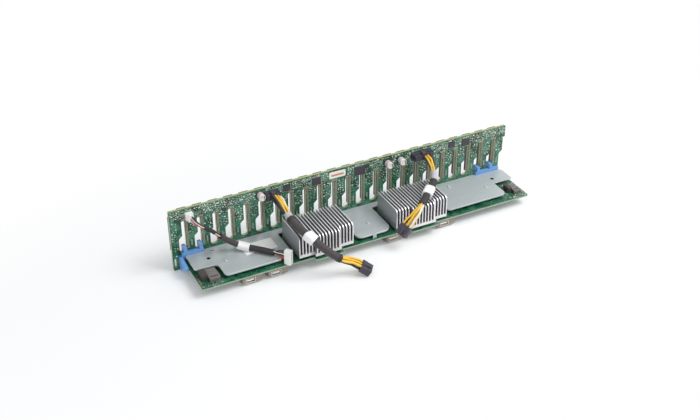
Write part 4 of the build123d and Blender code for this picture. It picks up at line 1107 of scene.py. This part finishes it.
# Plain label with one printed stripe
LABEL_THICKNESS = 0.16
label = bmesh.new()
add_block(label, (LABEL_BOX[0], LABEL_BOX[2], 0), (LABEL_BOX[1], LABEL_BOX[3], LABEL_THICKNESS))
corners = [edge for edge in label.edges if abs(edge.verts[0].co.z - edge.verts[1].co.z) > 0.1 * MM]
bmesh.ops.bevel(label, geom=corners, offset=1.6 * MM, segments=4, profile=0.5, affect="EDGES")
add_block(label, (-21.5, 66.6, LABEL_THICKNESS), (-5.8, 69.0, 0.2), 1)
show(label, "board_label", [LABEL_PAPER, ORANGE_INK], ON_FRONT)

# Can capacitors on square bases: a groove near the foot, a flat crimped rim and a dark strip for polarity
CAN_PROFILE = ((0, 1.0), (3.9, 1.0), (3.9, 1.7), (3.7, 1.9), (3.7, 2.1), (3.95, 2.3), (3.95, 8.1),
               (3.8, 8.45), (3.5, 8.5), (3.3, 8.4), (0, 8.4))
cans = bmesh.new()
for x, z in CAN_CENTRES:
    place = ON_FRONT @ Matrix.Translation(metres((x, z, 0)))
    add_block(cans, (-4.1, -4.1, 0), (4.1, 4.1, 1.2), 1, 0.3, place)
    add_turned(cans, CAN_PROFILE, place, 28)
    add_block(cans, (1.9, -2.2, 8.3), (2.9, 2.2, 8.46), 1, 0.0, place)
show(cans, "can_capacitors_dressed", [CAN_METAL, EPOXY], stands_for="can_capacitors")


# Headers and plugs on the main board: ribs part the cells on top, and a latch arm crosses the middle

CELL_WIDTH = 4.2
PLUG_WALL = 0.8
headers = bmesh.new()
for left, right, low, high in HEADER_BOXES[:2]:
    width = right - left
    cells = round(width / CELL_WIDTH)
    pitch = (width - 2 * PLUG_WALL) / cells
    for cell in range(cells + 1):
        x = left + PLUG_WALL + cell * pitch
        add_block(headers, (x - 0.3, PLUG_FACE, high - 0.7), (x + 0.3, PLUG_FACE + 4.2, high), 0, 0.1)
    middle = (left + right) / 2
    add_block(headers, (middle - 2.4, PLUG_FACE, high), (middle + 2.4, -3.5, high + 1.4), 0, 0.3)
    for x in (left - 0.5, right - 0.3):
        add_block(headers, (x, -6.5, low + 1.5), (x + 0.8, -1.5, high - 1.5), 0, 0.2)
show(headers, "header_ribs", [BLACK_NYLON])
signal_ribs = bmesh.new()
for step in range(4):
    x = HEADER_BOXES[2][0] + 1.2 + step * 1.75
    high = HEADER_BOXES[2][3]
    add_block(signal_ribs, (x, PLUG_FACE, high - 0.6), (x + 0.5, -6.8, high - 0.1), 0, 0.1)
show(signal_ribs, "signal_plug_ribs", [NATURAL_NYLON])

# Signal cable's end plug: ribs down both faces, and crimp windows down one face and its end, drawn as dark
# patches whose dark is painted shade in the openings
CRIMP_PITCH = 2.4
onward = heading(SIGNAL_ROUTE)
plug_place = local_frame((*SIGNAL_ROUTE[-1][:2], 20.7), (-onward.y, onward.x, 0), (onward.x, onward.y, 0))
end_ribs = bmesh.new()
for cell in range(7):
    y = -7.2 + cell * CRIMP_PITCH
    add_blocks(end_ribs, (((-3.25, y - 0.25, 0.4), (-2.9, y + 0.25, 7.1), 0, 0),
                          ((2.9, y - 0.25, 0.4), (3.25, y + 0.25, 7.1), 0, 0)), plug_place)
# The windows are thin dark patches: painted shade inside the openings
for cell in range(6):
    y = -6.0 + cell * CRIMP_PITCH
    add_blocks(end_ribs, (((2.95, y - 0.55, 2.6), (3.08, y + 0.55, 4.6), 1, 0),
                          ((-0.8, y - 0.6, 7.4), (0.8, y + 0.6, 7.56), 1, 0)), plug_place)
show(end_ribs, "signal_end_plug_ribs", [NATURAL_NYLON, DARK_LCP])


# Bracket: folded edge with a painted highlight, rivet heads, and a plain sticker

RIM_LEVEL = -0.55


def rounded_line(corners, steps=6):
    """An open line through square corners, each given as x, y and its radius."""
    line = [corners[0][:2]]
    for before, (x, y, radius), after in zip(corners, corners[1:], corners[2:]):
        corner = Vector((x, y))
        back = (Vector(before[:2]) - corner).normalized()
        onward = (Vector(after[:2]) - corner).normalized()
        centre = corner + (back + onward) * radius
        for step in range(steps + 1):
            angle = math.pi / 2 * step / steps
            line.append(tuple(centre - onward * radius * math.cos(angle) - back * radius * math.sin(angle)))
    line.append(corners[-1][:2])
    return [(x, y, RIM_LEVEL) for x, y in line]


bracket_rims = [rounded_line(corners) for corners in (
    [(-199.15, -20.0, 0), (-199.15, -33.95, 4.65), (-173.15, -33.95, 5.35), (-173.15, -57.15, 4.65),
     (-109.05, -57.15, 1.65), (-109.05, -52.15, 2.35), (-93.65, -52.15, 1.65), (-93.65, -30.0, 0)],
    [(-17.32, -30.0, 0), (-17.32, -59.35, 6.65), (24.95, -59.35, 8.65), (24.95, -30.0, 0)],
    [(101.18, -30.0, 0), (101.18, -55.65, 4.65), (180.95, -55.65, 4.65), (180.95, -29.95, 2.35),
     (206.95, -29.95, 1.65), (206.95, -14.0, 0)])]
# The rims' near white finish is a painted highlight along the rolled edge of the sheet
grow("bracket_rims", lines_mesh(bracket_rims), ROD, {"Radius": 0.5 * MM, "Sides": 10, "Finish": PAINTED_HIGHLIGHT_EDGE},
     ON_BRACKET)

RIVET_PROFILE = ((0, 0), (2.3, 0), (2.2, 0.5), (1.7, 0.85), (1.1, 0.95), (0.9, 0.7), (0.8, 0.2), (0, 0.15))
rivets = bmesh.new()
for x, y in RIVET_CENTRES:
    add_turned(rivets, RIVET_PROFILE, ON_BRACKET @ Matrix.Translation(metres((x, y, 0))), 20)
show(rivets, "bracket_rivets_dressed", [PLATED_SHEET], stands_for="bracket_rivets")

# A torn corner of the cable's label lies on the sheet beside the sticker
TORN_CORNER = ((-141.7, -16.8), (-139.8, -34.8), (-126.4, -31.9), (-132.9, -25.0))
sticker = bmesh.new()
add_block(sticker, (-128.0, -35.0, 0), (-103.5, -14.5, 0.14))
rings = [[sticker.verts.new(metres((x, y, level))) for x, y in TORN_CORNER] for level in (0.02, 0.3)]
join_rings(sticker, *rings)
for ring in rings:
    sticker.faces.new(ring)
show(sticker, "bracket_sticker", [LABEL_PAPER], ON_BRACKET)


# Expander board

expander_fields = [(181.6, 208.0, -63.2, -30.9), (-201.8, -174.3, -63.2, -36.0)]
expander_holes = [(-198.0, -177.0, -55.5, -35.0), (188.0, 204.0, -55.0, -37.0),
                  (-201.0, -194.5, -42.0, -35.0)]
scatter("expander_small_parts", expander_fields, expander_holes, 2.0, 5, ON_EXPANDER)
for name, (first, second) in (("link_pins_top", LINK_CENTRES[:2]), ("link_pins_top_right", LINK_CENTRES[2:])):
    add_rows(name, pin_mesh(0.35, 0.9, (first - LINK_REACH, -8.5, 0)), LINK_COLUMNS, (3, (0, 1.6, 0)),
             (2, (second - first, 0, 0)), TINNED, ON_EXPANDER)

# Larger chips, pads and one brown strip near the board's ends
marks = bmesh.new()
add_blocks(marks, (
    ((-200.0, -41.0, 0), (-195.9, -36.0, 1.1), 0, 0), ((-200.2, -58.2, 0), (-198.3, -56.6, 0.8), 0, 0),
    ((-196.8, -59.8, 0), (-195.0, -58.4, 0.8), 0, 0), ((-190.2, -61.2, 0), (-188.4, -59.8, 0.1), 1, 0),
    ((-189.0, -63.2, 0), (-187.2, -62.4, 0.1), 1, 0), ((206.4, -41.2, 0), (207.8, -39.4, 0.5), 1, 0),
    ((189.8, -60.6, 0), (192.6, -59.0, 0.1), 1, 0), ((194.2, -61.8, 0), (196.0, -60.4, 0.1), 1, 0),
    ((-201.0, -61.0, 0), (-199.8, -42.5, 0.12), 2, 0)))
show(marks, "expander_marks", [EPOXY, TINNED, PIN_GROUND], ON_EXPANDER)

# Edge connectors: soldered leads in front and behind, and a grey cover over the lower half with a dark mouth
# near its front and a rib behind
EDGE_LEAD_PITCH = 0.8
LEAD_FOOT, LEAD_TOP = EXPANDER_TOP, 12.6
COVER_TOP = 16.4
edge_details = bmesh.new()
for left, right, front, back, step_x in ((-197.0, -178.3, -54.5, -36.0, -190.46),
                                         (189.5, 203.0, -54.0, -38.0, 194.2)):
    lead = left + 1.0
    while lead < right - EDGE_LEAD_PITCH:
        add_block(edge_details, (lead, back, LEAD_FOOT), (lead + 0.4, back + 1.1, LEAD_TOP), 1)
        if lead > step_x:
            add_block(edge_details, (lead, front - 1.0, LEAD_FOOT), (lead + 0.4, front, LEAD_TOP), 1)
        lead += EDGE_LEAD_PITCH
    add_blocks(edge_details, (
        ((step_x + 0.3, front - 0.1, 13.2), (right + 0.1, back + 0.1, 16.5), 2, 0.3),
        ((step_x + 1.6, front + 2.0, COVER_TOP), (right - 1.4, front + 4.2, 16.56), 0, 0),
        ((step_x + 1.6, back - 6.0, COVER_TOP), (right - 1.4, back - 2.4, 17.0), 2, 0.2),
        ((left + 0.8, front + 6.0, 18.1), (step_x - 0.8, back - 1.5, 18.5), 0, 0.15)))
show(edge_details, "edge_connector_details", [DARK_LCP, TINNED, GREY_LCP])

# Cable ports: a tongue in each mouth with gold fingers above and below it
tongues = bmesh.new()
for number, centre in enumerate(PORT_CENTRES, 1):
    add_block(tongues, (centre - 6.8, -61.6, 4.7), (centre + 2.0, -48.5, 6.3), 0, 0.1)
    add_rows(f"port_fingers_{number}", block_mesh((centre - 6.4, -61.2, 4.58), (centre - 6.0, -54.0, 4.74)),
             (10, (0.86, 0, 0)), (2, (0, 0, 1.68)), ONCE, GOLD, Matrix.Identity(4))
show(tongues, "port_tongues", [NATURAL_NYLON])
